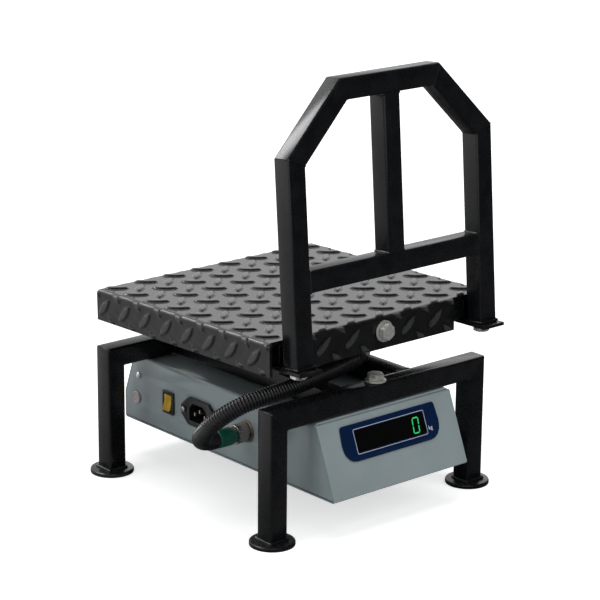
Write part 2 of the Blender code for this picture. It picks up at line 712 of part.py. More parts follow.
def on_platform(y, z):
    """The pan's own Y of a point given along the stand."""
    return (y - PAN_CENTRE_Y) * cos(PAN_SAG) - (z - PAN_TOP) * sin(PAN_SAG)


def make_upper_plate(steel, dark_steel, platform):
    """A flat bar along the frame, under its front and rear tubes, with a pad for the cell. The pad is a
    wedge: its top lies along the sagging bar and its underside on the level cell."""
    mid_screw = CELL_TOP - CELL_SCREW_DEPTH / 2
    places = [on_platform(y, mid_screw) for y in cell_screw_places(1)]
    top = FRAME_BOTTOM - GAP
    reach = FRAME_END_Y + TUBE / 2 - CELL_PLATE_LAP
    half = CELL_UPPER_PLATE_WIDTH / 2
    tool = bmesh.new()
    add_box(tool, (-half, -reach, top - CELL_UPPER_PLATE), (half, reach, top))
    plate = finished(tool, "cell_upper_plate", steel, platform)

    half = CELL_WIDTH / 2 - CELL_PAD_INSET
    rear = CELL_LENGTH / 2 - PAN_CENTRE_Y - CELL_PAD_INSET
    corners = []
    for y in (rear - CELL_PLATE_LENGTH + CELL_PLATE_LAP, rear):
        corners.append((y, (CELL_TOP + GAP - PAN_TOP + y * sin(PAN_SAG)) / cos(PAN_SAG)))
    joined = top - CELL_UPPER_PLATE / 2
    corners += [(corners[1][0], joined), (corners[0][0], joined)]
    tool = bmesh.new()
    add_loft(tool, along_x(corners, -half, half))
    cut(plate, cutter(tool, "cell_pad", platform), "UNION")
    drill_row(plate, places, top, platform)

    length = top - (CELL_TOP - PAN_TOP) + CELL_SCREW_DEPTH - 3 * MM
    for number, y in enumerate(places, 1):
        name = f"cell_upper_screw_{number}"
        make_cap_screw(name, (0, y, top), (0, 0, -1), length, dark_steel, platform)


def make_pan_frame(paint, platform):
    reach = FRAME_END_Y + TUBE / 2
    for side_name, x in (("left", -SIDE_X), ("right", SIDE_X)):
        start, end = (x, -reach - GAP / 2, FRAME_Z), (x, reach + GAP / 2, FRAME_Z)
        square_tube(f"frame_{side_name}_tube", start, end, paint, platform, side=(1, 0, 0))
        tool = bmesh.new()
        front = -PAN_DEPTH / 2 - FLAT_BAR_REACH
        half = FLAT_BAR_WIDTH / 2
        low = (x - half, front, FLAT_BAR_BOTTOM)
        add_box(tool, low, (x + half, front + FLAT_BAR_LENGTH, FLAT_BAR_TOP))
        bar = finished(tool, f"guard_{side_name}_bar", paint, platform)
        hole = M8[0] + 2 * BOLT_CLEARANCE
        at = (x, -PAN_DEPTH / 2 - GUARD_AXIS_REACH, FLAT_BAR_TOP)
        cut(bar, drill(f"guard_{side_name}_bar_hole", at, (0, 0, 1), hole, TUBE, platform))
    inner = SIDE_X - TUBE / 2 - GAP / 2
    tubes = []
    for end_name, y in (("front", -FRAME_END_Y), ("rear", FRAME_END_Y)):
        start, end = (-inner, y, FRAME_Z), (inner, y, FRAME_Z)
        tubes.append(square_tube(f"frame_{end_name}_tube", start, end, paint, platform))
    # The front tube has a weld nut on its far side, for the pan's bolt.
    inside = -FRAME_END_Y + TUBE / 2 - TUBE_WALL / 2
    at = (PAN_CENTRE_X, inside, PAN_BOLT_Z)
    length = WELD_NUT_LENGTH + TUBE_WALL / 2
    nut = boss("pan_weld_nut", at, (0, 1, 0), M8[1], length, platform, flats=True)
    cut(tubes[0], nut, "UNION")
    at = (PAN_CENTRE_X, -FRAME_END_Y, PAN_BOLT_Z)
    hole = M8[0] + 2 * GAP
    cut(tubes[0], drill("frame_bolt_hole", at, (0, 1, 0), hole, 2 * TUBE, platform))


# ---------------------------------------------------------------------------------------------
# Guard frame
# ---------------------------------------------------------------------------------------------


def make_guard(paint, zinc, platform):
    lean = GUARD_LEAN
    at = (0, -PAN_DEPTH / 2 - GUARD_AXIS_REACH, FLAT_BAR_TOP + GAP / 2)
    axes = [(1, 0, 0), (0, cos(lean), -sin(lean)), (0, sin(lean), cos(lean))]
    guard = anchor("guard", at, axes, platform)
    bar_top = (0, -sin(lean), cos(lean))
    leg_x = (GUARD_WIDTH - TUBE) / 2
    top_z = GUARD_HEIGHT - TUBE / 2
    top_x = GUARD_TOP_WIDTH / 2 - TUBE / 2 * tan(pi / 8)
    shoulder = top_z - (leg_x - top_x)
    low_mitre, high_mitre = (sin(pi / 8), cos(pi / 8)), (cos(pi / 8), sin(pi / 8))
    for side_name, side in (("left", -1), ("right", 1)):
        foot, knee, end = (side * leg_x, 0, 0), (side * leg_x, 0, shoulder), (side * top_x, 0, top_z)
        knee_cut = (-side * low_mitre[0], 0, low_mitre[1])
        top_cut = (-side * high_mitre[0], 0, high_mitre[1])
        cuts = {"start_cut": bar_top, "end_cut": knee_cut}
        leg = square_tube(f"guard_{side_name}_leg", foot, knee, paint, guard, **cuts)
        cuts = {"start_cut": knee_cut, "end_cut": top_cut}
        square_tube(f"guard_{side_name}_brace", knee, end, paint, guard, **cuts)

        # A tapped plug is welded into the foot of each leg, for the bolt from under the flat bar.
        half = TUBE / 2 - TUBE_WALL / 2
        tool = bmesh.new()
        low = (foot[0] - half, -half, GUARD_PLUG_INSET)
        add_box(tool, low, (foot[0] + half, half, GUARD_PLUG_INSET + GUARD_PLUG))
        cut(leg, cutter(tool, f"guard_{side_name}_plug", guard), "UNION")
        under = (foot[0], at[1], FLAT_BAR_BOTTOM)
        hole = M8[0] + 2 * GAP
        reach = 2 * TUBE
        cut(leg, drill(f"guard_{side_name}_thread", under, (0, 0, 1), hole, reach, platform))
        length = FLAT_BAR_THICKNESS + GUARD_PLUG_INSET + GUARD_PLUG + BOLT_END
        make_bolt(f"guard_{side_name}", under, (0, 0, 1), length, M8, zinc, platform)
    start, end = (-top_x, 0, top_z), (top_x, 0, top_z)
    cuts = {"start_cut": (high_mitre[0], 0, high_mitre[1]), "end_cut": (-high_mitre[0], 0, high_mitre[1])}
    square_tube("guard_top_bar", start, end, paint, guard, **cuts)
    cross_z = GUARD_CROSSBAR_TOP - TUBE / 2
    inner = leg_x - TUBE / 2 - GAP / 2
    square_tube("guard_crossbar", (-inner, 0, cross_z), (inner, 0, cross_z), paint, guard)
    post_low = (0, 0, GUARD_CROSSBAR_TOP + GAP / 2)
    post_high = (0, 0, GUARD_HEIGHT - TUBE - GAP / 2)
    square_tube("guard_post", post_low, post_high, paint, guard)


# ---------------------------------------------------------------------------------------------
# Indicator box
# ---------------------------------------------------------------------------------------------


def box_profile(inset, top=BOX_TOP):
    """The box's outline in Y and Z up to a level, drawn in by a distance from every side. It runs from
    the front panel's foot, along the floor, up the rear panel and forward along the top."""
    half, knee = BOX_LENGTH / 2, BOX_BOTTOM + BOX_REAR_KNEE
    corners = [
        Vector((-half, BOX_BOTTOM)),
        Vector((half, BOX_BOTTOM)),
        Vector((half, knee)),
        Vector((half - (top - knee) * tan(BOX_REAR_LEAN), top)),
        Vector((-half + (top - BOX_BOTTOM) * tan(BOX_LEAN), top)),
    ]
    drawn = []
    for i, corner in enumerate(corners):
        before = (corner - corners[i - 1]).normalized()
        after = (corners[(i + 1) % len(corners)] - corner).normalized()
        inward = (before.orthogonal() + after.orthogonal()).normalized()
        drawn.append(corner + inward * inset / inward.dot(after.orthogonal()))
    return [tuple(point) for point in drawn]


def make_box_body(grey):
    """The cover: a top and two side walls, folded from one sheet, with a rivet nut at each end of the
    top for the bolts it hangs from."""
    half = BOX_WIDTH / 2
    low = BOX_BOTTOM + BOX_WALL_LIFT
    inside = half - BOX_SHEET
    inside_top = BOX_TOP - BOX_SHEET
    corner = BOX_CORNER - BOX_SHEET
    section = [
        (-half, low, 0),
        (-inside, low, 0),
        (-inside, inside_top, corner),
        (inside, inside_top, corner),
        (inside, low, 0),
        (half, low, 0),
        (half, BOX_TOP, BOX_CORNER),
        (-half, BOX_TOP, BOX_CORNER),
    ]
    tool = bmesh.new()
    outline = filleted(section)
    add_loft(tool, [[(x, y, z) for x, z in outline] for y in (-BOX_LENGTH, BOX_LENGTH)])
    body = finished(tool, "box_body", grey)
    tool = bmesh.new()
    side = box_profile(BOX_SHEET + GAP, BOX_TOP + BOX_CORNER)
    add_loft(tool, along_x(side, -BOX_WIDTH, BOX_WIDTH))
    cut(body, cutter(tool, "box_side_shape"), "INTERSECT")
    for end_name, y in (("front", -LEG_Y), ("rear", LEG_Y)):
        at = (0, y + STAND_SETBACK, BOX_TOP - BOX_SHEET / 2)
        diameter = M8[1]
        nut = boss(f"rivet_nut_{end_name}", at, (0, 0, -1), diameter, RIVET_NUT_LENGTH)
        cut(body, nut, "UNION")
        hole = M8[0] + 2 * GAP
        cut(body, drill(f"box_{end_name}_hole", at, (0, 0, 1), hole, TUBE))
    return body


def make_box_chassis(grey):
    """The base: a floor, a front panel and a rear panel, folded from one sheet, with a lip at each end
    that tucks in under the cover's top."""
    half = BOX_WIDTH / 2
    under = BOX_SHEET + GAP
    outer = box_profile(0)
    inner = box_profile(BOX_SHEET)
    lip_top = BOX_TOP - under

    def on_panel(line, low, high, z):
        share = (z - line[low][1]) / (line[high][1] - line[low][1])
        return line[low][0] + share * (line[high][0] - line[low][0])

    rear_out, rear_in = on_panel(outer, 2, 3, lip_top), on_panel(inner, 2, 3, lip_top - BOX_SHEET)
    front_out, front_in = on_panel(outer, 0, 4, lip_top), on_panel(inner, 0, 4, lip_top - BOX_SHEET)
    bend, tight = BOX_BEND, BOX_BEND - BOX_SHEET
    outline = [
        (*outer[0], bend),
        (*outer[1], bend),
        (*outer[2], bend),
        (rear_out, lip_top, bend),
        (rear_out - BOX_LIP, lip_top, 0),
        (rear_out - BOX_LIP, lip_top - BOX_SHEET, 0),
        (rear_in, lip_top - BOX_SHEET, tight),
        (*inner[2], tight),
        (*inner[1], tight),
        (*inner[0], tight),
        (front_in, lip_top - BOX_SHEET, tight),
        (front_out + BOX_LIP, lip_top - BOX_SHEET, 0),
        (front_out + BOX_LIP, lip_top, 0),
        (front_out, lip_top, bend),
    ]
    tool = bmesh.new()
    add_loft(tool, along_x(filleted(outline), -half, half))
    chassis = finished(tool, "box_chassis", grey)

    # The lips are narrower than the panels, to clear the cover's walls.
    tool = bmesh.new()
    inside = box_profile(BOX_SHEET + GAP / 2, BOX_TOP + BOX_CORNER)
    for side in (-1, 1):
        edges = (side * (half - under - BOX_CORNER), side * (half + under))
        add_loft(tool, along_x(inside, min(edges), max(edges)))
    cut(chassis, cutter(tool, "chassis_lip_ends"))
    return chassis


def panel_anchor():
    """Local X runs along the front panel, local Y up its slope and local Z out of it."""
    lean = BOX_LEAN
    axes = [(1, 0, 0), (0, sin(lean), cos(lean)), (0, -cos(lean), sin(lean))]
    return anchor("front_panel", (0, -BOX_LENGTH / 2, BOX_BOTTOM), axes)


def make_display(chassis, navy, window_glass, black):
    panel = panel_anchor()
    half_x, half_y = WINDOW_WIDTH / 2, WINDOW_HEIGHT / 2
    low_y, high_y = WINDOW_CENTRE - half_y, WINDOW_CENTRE + half_y

    tool = bmesh.new()
    reach, through = half_x + WINDOW_CLEARANCE, 5 * MM
    low = (-reach, low_y - WINDOW_CLEARANCE, -through)
    add_box(tool, low, (reach, high_y + WINDOW_CLEARANCE, through))
    window_cut = cutter(tool, "window_opening", panel)
    cut(chassis, window_cut)

    x = DISPLAY_WIDTH / 2
    middle = (DISPLAY_LOW + DISPLAY_HIGH) / 2
    corners = [
        (-x + DISPLAY_TAPER, DISPLAY_LOW, DISPLAY_LOW_CORNER),
        (x - DISPLAY_TAPER, DISPLAY_LOW, DISPLAY_LOW_CORNER),
        (x, middle, 0),
        (x - DISPLAY_TAPER, DISPLAY_HIGH, DISPLAY_TOP_CORNER),
        (-x + DISPLAY_TAPER, DISPLAY_HIGH, DISPLAY_TOP_CORNER),
        (-x, middle, 0),
    ]
    front = GAP + DISPLAY_THICKNESS
    tool = bmesh.new()
    add_loft(tool, prism(filleted(corners, 4), GAP, front))
    overlay = finished(tool, "display_overlay", navy, panel)
    cut(overlay, window_cut)

    tool = bmesh.new()
    add_box(tool, (-half_x, low_y, front - WINDOW_THICKNESS), (half_x, high_y, front))
    finished(tool, "display_window", window_glass, panel)

    # The digit module is wider than the window, and clamps it against the panel from behind.
    margin = DIGIT_BLOCK_MARGIN
    block_front = front - WINDOW_THICKNESS - GAP
    block_back = block_front - DIGIT_BLOCK_DEPTH
    low = (-half_x - margin, low_y - margin, block_back)
    tool = bmesh.new()
    add_box(tool, low, (half_x + margin, high_y + margin, block_front))
    finished(tool, "digit_block", black, panel)


def wall_point(place_on_wall, out=0.0):
    """Local place on the left wall's anchor, whose X runs forward, Y up and Z outwards."""
    return (-place_on_wall[0], place_on_wall[1], out)


def make_switch(body, wall, black, amber):
    tool = bmesh.new()
    flange = rounded_rectangle(SWITCH_WIDTH, SWITCH_HEIGHT, 1 * MM)
    mouth_x = SWITCH_BODY_WIDTH / 2 - SWITCH_BODY_WALL
    mouth_y = SWITCH_BODY_HEIGHT / 2 - SWITCH_BODY_WALL
    add_loft(tool, prism(flange, GAP, GAP + SWITCH_FLANGE))
    bezel = finished(tool, "switch_bezel", black, wall, wall_point(SWITCH_AT))
    tool = bmesh.new()
    case = rounded_rectangle(SWITCH_BODY_WIDTH, SWITCH_BODY_HEIGHT, 0.5 * MM)
    add_loft(tool, prism(case, -SWITCH_BODY_DEPTH, GAP + SWITCH_FLANGE / 2))
    case_cutter = cutter(tool, "switch_case", wall, wall_point(SWITCH_AT))
    cut(bezel, case_cutter, "UNION")
    tool = bmesh.new()
    depth = SWITCH_BODY_DEPTH - SWITCH_BODY_WALL
    add_box(tool, (-mouth_x, -mouth_y, -depth), (mouth_x, mouth_y, 3 * SWITCH_FLANGE))
    cut(bezel, cutter(tool, "switch_mouth", wall, wall_point(SWITCH_AT)))

    tool = bmesh.new()
    clear = GAP
    x, y = SWITCH_BODY_WIDTH / 2 + clear, SWITCH_BODY_HEIGHT / 2 + clear
    add_box(tool, (-x, -y, -5 * MM), (x, y, 5 * MM))
    cut(body, cutter(tool, "switch_opening", wall, wall_point(SWITCH_AT)))

    # The rocker is a roof-shaped key over a half-round belly that turns on a cross pin.
    pivot_z = GAP + SWITCH_FLANGE - ROCKER_PIVOT_DEPTH
    half = ROCKER_THROW / 2
    crest = ROCKER_CREST
    belly = ROCKER_HALF * 0.8
    outline = [(-ROCKER_HALF * cos(half), crest + ROCKER_HALF * sin(half))]
    outline += [(0, crest), (ROCKER_HALF * cos(half), crest + ROCKER_HALF * sin(half))]
    for k in range(9):
        angle = -radians(8) - k * radians(164) / 8
        outline.append((belly * cos(angle), belly * sin(angle)))
    turn = Matrix.Rotation(-half, 3, "X")
    tool = bmesh.new()
    loops = []
    for side_x in (-ROCKER_WIDTH / 2, ROCKER_WIDTH / 2):
        loops.append([turn @ Vector((side_x, py, pz)) for py, pz in outline])
    add_loft(tool, loops)
    finished(tool, "switch_rocker", amber, wall, wall_point(SWITCH_AT, pivot_z))


def make_inlet(body, wall, black, zinc):
    half_x, half_y = INLET_WIDTH / 2, INLET_HEIGHT / 2
    flat, ear = INLET_FLAT / 2, INLET_EAR / 2
    quarter = [(flat, -half_y), (half_x, -ear), (half_x, ear), (flat, half_y)]
    outline = quarter + [(-x, -y) for x, y in quarter]
    tool = bmesh.new()
    rounded = filleted([(x, y, 1.5 * MM) for x, y in outline], 2)
    add_loft(tool, prism(rounded, GAP, GAP + INLET_FLANGE))
    at = wall_point(INLET_AT)
    inlet = finished(tool, "inlet_body", black, wall, at)

    def mouth(grow):
        x, y = INLET_MOUTH_WIDTH / 2 + grow, INLET_MOUTH_HEIGHT / 2 + grow
        slope = INLET_MOUTH_CHAMFER + grow * tan(pi / 8)
        return [(-x, -y), (x, -y), (x, y - slope), (x - slope, y), (-x + slope, y), (-x, y - slope)]

    floor = INLET_FLANGE - INLET_DEPTH
    tool = bmesh.new()
    add_loft(tool, prism(mouth(INLET_WALL), floor - INLET_WALL, GAP + INLET_FLANGE / 2))
    cut(inlet, cutter(tool, "inlet_case", wall, at), "UNION")
    tool = bmesh.new()
    add_loft(tool, prism(mouth(0), floor, 3 * INLET_FLANGE))
    cut(inlet, cutter(tool, "inlet_mouth", wall, at))
    tool = bmesh.new()
    add_loft(tool, prism(mouth(INLET_WALL + GAP), -5 * MM, 5 * MM))
    cut(body, cutter(tool, "inlet_opening", wall, at))

    # Three flat pins moulded into the floor of the mouth, the earth pin higher than the other two.
    pins = bmesh.new()
    for x, y in ((-PIN_PITCH / 2, -PIN_RISE / 2), (0, PIN_RISE / 2), (PIN_PITCH / 2, -PIN_RISE / 2)):
        low = (x - PIN_THICKNESS / 2, y - PIN_WIDTH / 2, floor - INLET_WALL / 2)
        add_box(pins, low, (x + PIN_THICKNESS / 2, y + PIN_WIDTH / 2, INLET_FLANGE - PIN_RECESS))
    cut(inlet, cutter(pins, "inlet_pins", wall, at), "UNION")

    shank, head = INLET_SCREW / 2, INLET_SCREW_HEAD / 2
    top = GAP + INLET_FLANGE + GAP
    for side_name, x in (("front", INLET_SCREW_PITCH / 2), ("rear", -INLET_SCREW_PITCH / 2)):
        centre = (at[0] + x, at[1], 0)
        hole = 2 * (shank + GAP)
        name = f"inlet_{side_name}_screw_hole"
        drilled = drill(name, centre, (0, 0, 1), hole, 12 * MM, wall, 12)
        cut(inlet, drilled)
        cut(body, drilled)
        loops = [
            circle(shank, -6 * MM, segments=12),
            circle(shank, top, segments=12),
            circle(head, top, segments=12),
            circle(head, top + 1.2 * MM, segments=12),
            circle(head * 0.6, top + 1.9 * MM, segments=12),
        ]
        tool = bmesh.new()
        add_loft(tool, loops)
        finished(tool, f"inlet_{side_name}_screw", zinc, wall, centre, smooth=True)


def make_connector(body, wall, bronze, silver, green):
    at = wall_point(CONNECTOR_AT)
    thread, bore = CONNECTOR_THREAD / 2, CONNECTOR_BORE / 2
    hole = CONNECTOR_THREAD + 2 * GAP
    cut(body, drill("connector_hole", at, (0, 0, 1), hole, 6 * MM, wall, 24))

    # Socket: a threaded barrel with a flange behind the wall, open at its outer end.
    tool = bmesh.new()
    floor = CONNECTOR_REACH - CONNECTOR_BORE_DEPTH
    behind = -BOX_SHEET - GAP
    loops = [
        circle(thread, -CONNECTOR_INNER_REACH),
        circle(thread, behind - CONNECTOR_FLANGE_THICKNESS),
        circle(CONNECTOR_FLANGE / 2, behind - CONNECTOR_FLANGE_THICKNESS),
        circle(CONNECTOR_FLANGE / 2, behind),
        circle(thread, behind),
        circle(thread, CONNECTOR_REACH),
        circle(bore, CONNECTOR_REACH),
        circle(bore, floor),
    ]
    add_loft(tool, loops)
    finished(tool, "cell_socket", bronze, wall, at, smooth=True)

    # Round nut outside the wall, notched for a pin spanner.
    tool = bmesh.new()
    hole = thread + GAP
    outer, step = CONNECTOR_NUT / 2, 1 * MM
    loops = [
        circle(outer + step, GAP),
        circle(outer + step, GAP + step),
        circle(outer, GAP + step),
        circle(outer, GAP + CONNECTOR_NUT_THICKNESS),
        circle(hole, GAP + CONNECTOR_NUT_THICKNESS),
        circle(hole, GAP),
    ]
    add_loft(tool, loops, ring=True)
    nut = finished(tool, "cell_socket_nut", bronze, wall, at, smooth=True)
    tool = bmesh.new()
    slot, top = NUT_NOTCH / 2, GAP + 2 * CONNECTOR_NUT_THICKNESS
    add_box(tool, (-2 * outer, -slot, GAP + 1.5 * step), (2 * outer, slot, top))
    cut(nut, cutter(tool, "nut_notches", wall, at))

    # Coupling ring: fluted, with a bore over the thread and a collar behind the plug's shoulder.
    tool = bmesh.new()
    segments = 2 * RING_FLUTES
    outer = RING_DIAMETER / 2
    bevel = RING_BEVEL

    def fluted(z):
        points = []
        for i in range(segments):
            angle = 2 * pi * i / segments
            radius = outer - (RING_FLUTE_DEPTH if i % 2 else 0)
            points.append((radius * cos(angle), radius * sin(angle), z))
        return points

    back, front = RING_START, RING_START + RING_LENGTH
    wide = thread + GAP
    narrow = PLUG_NECK / 2 + GAP
    loops = [
        fluted(back + bevel),
        fluted(front - bevel),
        circle(outer - bevel, front, segments=segments),
        circle(narrow, front, segments=segments),
        circle(narrow, front - RING_COLLAR, segments=segments),
        circle(wide, front - RING_COLLAR, segments=segments),
        circle(wide, back, segments=segments),
        circle(outer - bevel, back, segments=segments),
    ]
    add_loft(tool, loops, ring=True)
    finished(tool, "coupling_ring", silver, wall, at)

    # Plug: a nose that enters the socket, a shoulder that the ring pulls home, and a stout grip.
    tool = bmesh.new()
    nose, neck, shoulder = bore - GAP, PLUG_NECK / 2, PLUG_SHOULDER / 2
    seat = CONNECTOR_REACH + GAP
    collar_face = front - RING_COLLAR - GAP
    grip, bevel = PLUG_GRIP / 2, PLUG_GRIP_EDGE
    grip_end = PLUG_GRIP_START + PLUG_GRIP_LENGTH
    loops = [
        circle(nose, floor + 2 * MM),
        circle(nose, seat),
        circle(shoulder, seat),
        circle(shoulder, collar_face),
        circle(neck, collar_face),
        circle(neck, front + GAP),
        circle(PLUG_BODY / 2, front + GAP),
        circle(PLUG_BODY / 2, PLUG_GRIP_START),
        circle(grip - bevel, PLUG_GRIP_START),
        circle(grip, PLUG_GRIP_START + bevel),
        circle(grip, grip_end - bevel),
        circle(grip - bevel, grip_end),
    ]
    add_loft(tool, loops)
    finished(tool, "cell_plug", green, wall, at, smooth=True)


def make_wall_details(body, wall, rose, grey):
    tool = bmesh.new()
    radius = VENT_PLUG_DIAMETER / 2
    stem = radius - VENT_PLUG_RIM
    loops = [
        circle(stem, -3 * MM),
        circle(stem, GAP),
        circle(radius, GAP),
        circle(radius, GAP + 0.6 * MM),
        circle(radius - VENT_PLUG_RIM, GAP + 1.1 * MM),
        circle(radius - VENT_PLUG_RIM - 0.5 * MM, GAP + 0.5 * MM),
    ]
    add_loft(tool, loops)
    at = wall_point(VENT_PLUG_AT)
    finished(tool, "hole_plug", rose, wall, at, smooth=True)
    hole = 2 * (stem + GAP)
    cut(body, drill("plug_hole", at, (0, 0, 1), hole, 5 * MM, wall, 20))

    shank, head = WALL_SCREW_SHANK / 2, WALL_SCREW_HEAD / 2
    loops = [
        circle(shank, -WALL_SCREW_LENGTH, segments=16),
        circle(shank, GAP, segments=16),
        circle(head, GAP, segments=16),
        circle(head * 0.85, GAP + 1.1 * MM, segments=16),
        circle(head * 0.4, GAP + 1.8 * MM, segments=16),
    ]
    tool = bmesh.new()
    add_loft(tool, loops)
    at = wall_point(WALL_SCREW_AT)
    finished(tool, "wall_screw", grey, wall, at, smooth=True)
    hole = 2 * (shank + GAP)
    cut(body, drill("wall_screw_hole", at, (0, 0, 1), hole, 4 * MM, wall))


def make_main_board(chassis, board):
    """The circuit board sits on four bosses pressed up from the chassis floor."""
    floor = BOX_BOTTOM + BOX_SHEET
    half_x, half_y = MAIN_BOARD_WIDTH / 2, MAIN_BOARD_LENGTH / 2
    x, y = MAIN_BOARD_AT
    low_z = floor + BOARD_BOSS_HEIGHT + GAP
    tool = bmesh.new()
    low = (x - half_x, y - half_y, low_z)
    add_box(tool, low, (x + half_x, y + half_y, low_z + BOARD_THICKNESS))
    finished(tool, "main_board", board)
    for number, (sx, sy) in enumerate(((-1, -1), (1, -1), (1, 1), (-1, 1))):
        centre = (x + sx * (half_x - BOARD_BOSS), y + sy * (half_y - BOARD_BOSS), floor - BOX_SHEET / 2)
        height = BOARD_BOSS_HEIGHT + BOX_SHEET / 2
        name = f"board_boss_{number}"
        cut(chassis, boss(name, centre, (0, 0, 1), BOARD_BOSS, height), "UNION")


# ---------------------------------------------------------------------------------------------
# Conduit
# ---------------------------------------------------------------------------------------------

# Route of the conduit's centre line, in millimetres, from the plug's backshell, out and round in
# front of the left wall, up behind the stand's front bar and in to the end of the load cell.
CONDUIT_ROUTE = (
    (-119.0, -34.6, 71.1),
    (-127.5, -35.4, 73.2),
    (-135.0, -41.0, 79.0),
    (-137.0, -50.0, 88.0),
    (-135.0, -58.0, 97.0),
    (-128.0, -68.0, 107.0),
    (-118.0, -77.0, 115.0),
    (-106.0, -83.5, 119.6),
    (-92.0, -88.2, 122.8),
    (-78.0, -91.4, 125.7),
    (-62.0, -93.0, 128.4),
    (-45.0, -93.2, 130.8),
    (-28.0, -93.2, 133.2),
    (-12.0, -93.2, 136.0),
    (-3.6, -92.2, 137.2),
    (1.8, -88.6, 137.5),
    (3.9, -83.6, 137.6),
)


def smooth_route(corners, per_span):
    """Points along a Catmull-Rom curve that passes through every route point."""
    ends = [corners[0] * 2 - corners[1], *corners, corners[-1] * 2 - corners[-2]]
    points = []
    for k in range(1, len(ends) - 2):
        p0, p1, p2, p3 = ends[k - 1 : k + 3]
        for i in range(per_span):
            t = i / per_span
            points.append(
                0.5
                * (
                    2 * p1
                    + (p2 - p0) * t
                    + (2 * p0 - 5 * p1 + 4 * p2 - p3) * t**2
                    + (3 * p1 - p0 - 3 * p2 + p3) * t**3
                )
            )
    points.append(corners[-1])
    return points


def make_tube_curve(name, points, diameter, look, parent):
    curve = bpy.data.curves.new(name, "CURVE")
    curve.dimensions = "3D"
    curve.bevel_depth = diameter / 2
    curve.bevel_resolution = 3
    curve.use_fill_caps = True
    spline = curve.splines.new("POLY")
    spline.points.add(len(points) - 1)
    for point, place_on_route in zip(spline.points, points):
        point.co = (*place_on_route, 1.0)
    return place(name, curve, look, parent)


def make_conduit(black, brass, stand):
    start_x = -BOX_WIDTH / 2 - PLUG_GRIP_START - PLUG_GRIP_LENGTH - GAP
    start = Vector((start_x, CONNECTOR_AT[0], BOX_BOTTOM + CONNECTOR_AT[1]))
    face = -CELL_LENGTH / 2 - GAP
    level = (CELL_BOTTOM + CELL_TOP) / 2
    end = Vector((GLAND_X, face - GLAND_LENGTH - GAP, level))
    corners = [start, *(Vector(point) * MM for point in CONDUIT_ROUTE), end]
    make_tube_curve("conduit", smooth_route(corners, 2), CONDUIT_DIAMETER, black, stand)

    tool = bmesh.new()
    bore, body_radius = GLAND_BORE / 2, GLAND_BODY / 2
    profile = (
        (bore, 0),
        (GLAND_FLANGE / 2, 0),
        (GLAND_FLANGE / 2, GLAND_FLANGE_THICKNESS),
        (body_radius, GLAND_FLANGE_THICKNESS),
        (body_radius, GLAND_LENGTH),
        (bore, GLAND_LENGTH),
    )
    loops = []
    for radius, out in profile:
        ring = circle(radius, 0, segments=20)
        loops.append([(GLAND_X + a, face - out, level + b) for a, b, _ in ring])
    add_loft(tool, loops, ring=True)
    finished(tool, "cell_gland", brass, stand, smooth=True)


# ---------------------------------------------------------------------------------------------
# Assembly
# ---------------------------------------------------------------------------------------------


def main():
    clear_scene()
    paint = material("black_paint", (0.02, 0.02, 0.022), 0.38)
    plate = material("chequered_plate", (0.12, 0.12, 0.125), 0.45, 0.3)
    grey = material("grey_enamel", (0.23, 0.27, 0.285), 0.4)
    zinc = material("zinc_plate", (0.62, 0.6, 0.55), 0.35, 1.0)
    steel = material("mild_steel", (0.3, 0.3, 0.3), 0.45, 0.9)
    dark_steel = material("blackened_steel", (0.05, 0.05, 0.055), 0.4, 0.8)
    aluminium = material("aluminium", (0.72, 0.73, 0.75), 0.35, 1.0)
    black = material("black_plastic", (0.015, 0.015, 0.016), 0.4)
    amber = material("amber_plastic", (0.7, 0.38, 0.02), 0.3)
    navy = material("navy_film", (0.005, 0.016, 0.1), 0.35)
    window_glass = material("dark_window", (0.01, 0.01, 0.01), 0.1)
    board = material("circuit_board", (0.02, 0.12, 0.05), 0.5)
    bronze = material("dull_nickel", (0.2, 0.17, 0.15), 0.4, 1.0)
    silver = material("bright_nickel", (0.6, 0.57, 0.54), 0.25, 1.0)
    green = material("green_plastic", (0.0, 0.09, 0.055), 0.4)
    rose = material("rose_plastic", (0.38, 0.3, 0.3), 0.5)

    level = [(1, 0, 0), (0, 1, 0), (0, 0, 1)]
    stand = anchor("stand", (0, STAND_SETBACK, 0), level)
    make_stand(paint, zinc, stand)
    make_cell(steel, aluminium, dark_steel, stand)
    sagging = [(1, 0, 0), (0, cos(PAN_SAG), -sin(PAN_SAG)), (0, sin(PAN_SAG), cos(PAN_SAG))]
    platform = anchor("platform", (0, PAN_CENTRE_Y, PAN_TOP), sagging, stand)
    make_pan(plate, zinc, platform)
    make_pan_frame(paint, platform)
    make_upper_plate(steel, dark_steel, platform)
    make_guard(paint, zinc, platform)
    body = make_box_body(grey)
    chassis = make_box_chassis(grey)
    make_display(chassis, navy, window_glass, black)
    outward = [(0, -1, 0), (0, 0, 1), (-1, 0, 0)]
    wall = anchor("left_wall", (-BOX_WIDTH / 2, 0, BOX_BOTTOM), outward, stand)
    make_switch(body, wall, black, amber)
    make_inlet(body, wall, black, zinc)
    make_connector(body, wall, bronze, silver, green)
    make_wall_details(body, wall, rose, grey)
    make_main_board(chassis, board)
    make_conduit(black, silver, stand)


main()
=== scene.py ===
import json
from math import cos, pi, radians, sin, sqrt, tan

import bmesh
import bpy
import numpy as np
from mathutils import Matrix, Vector

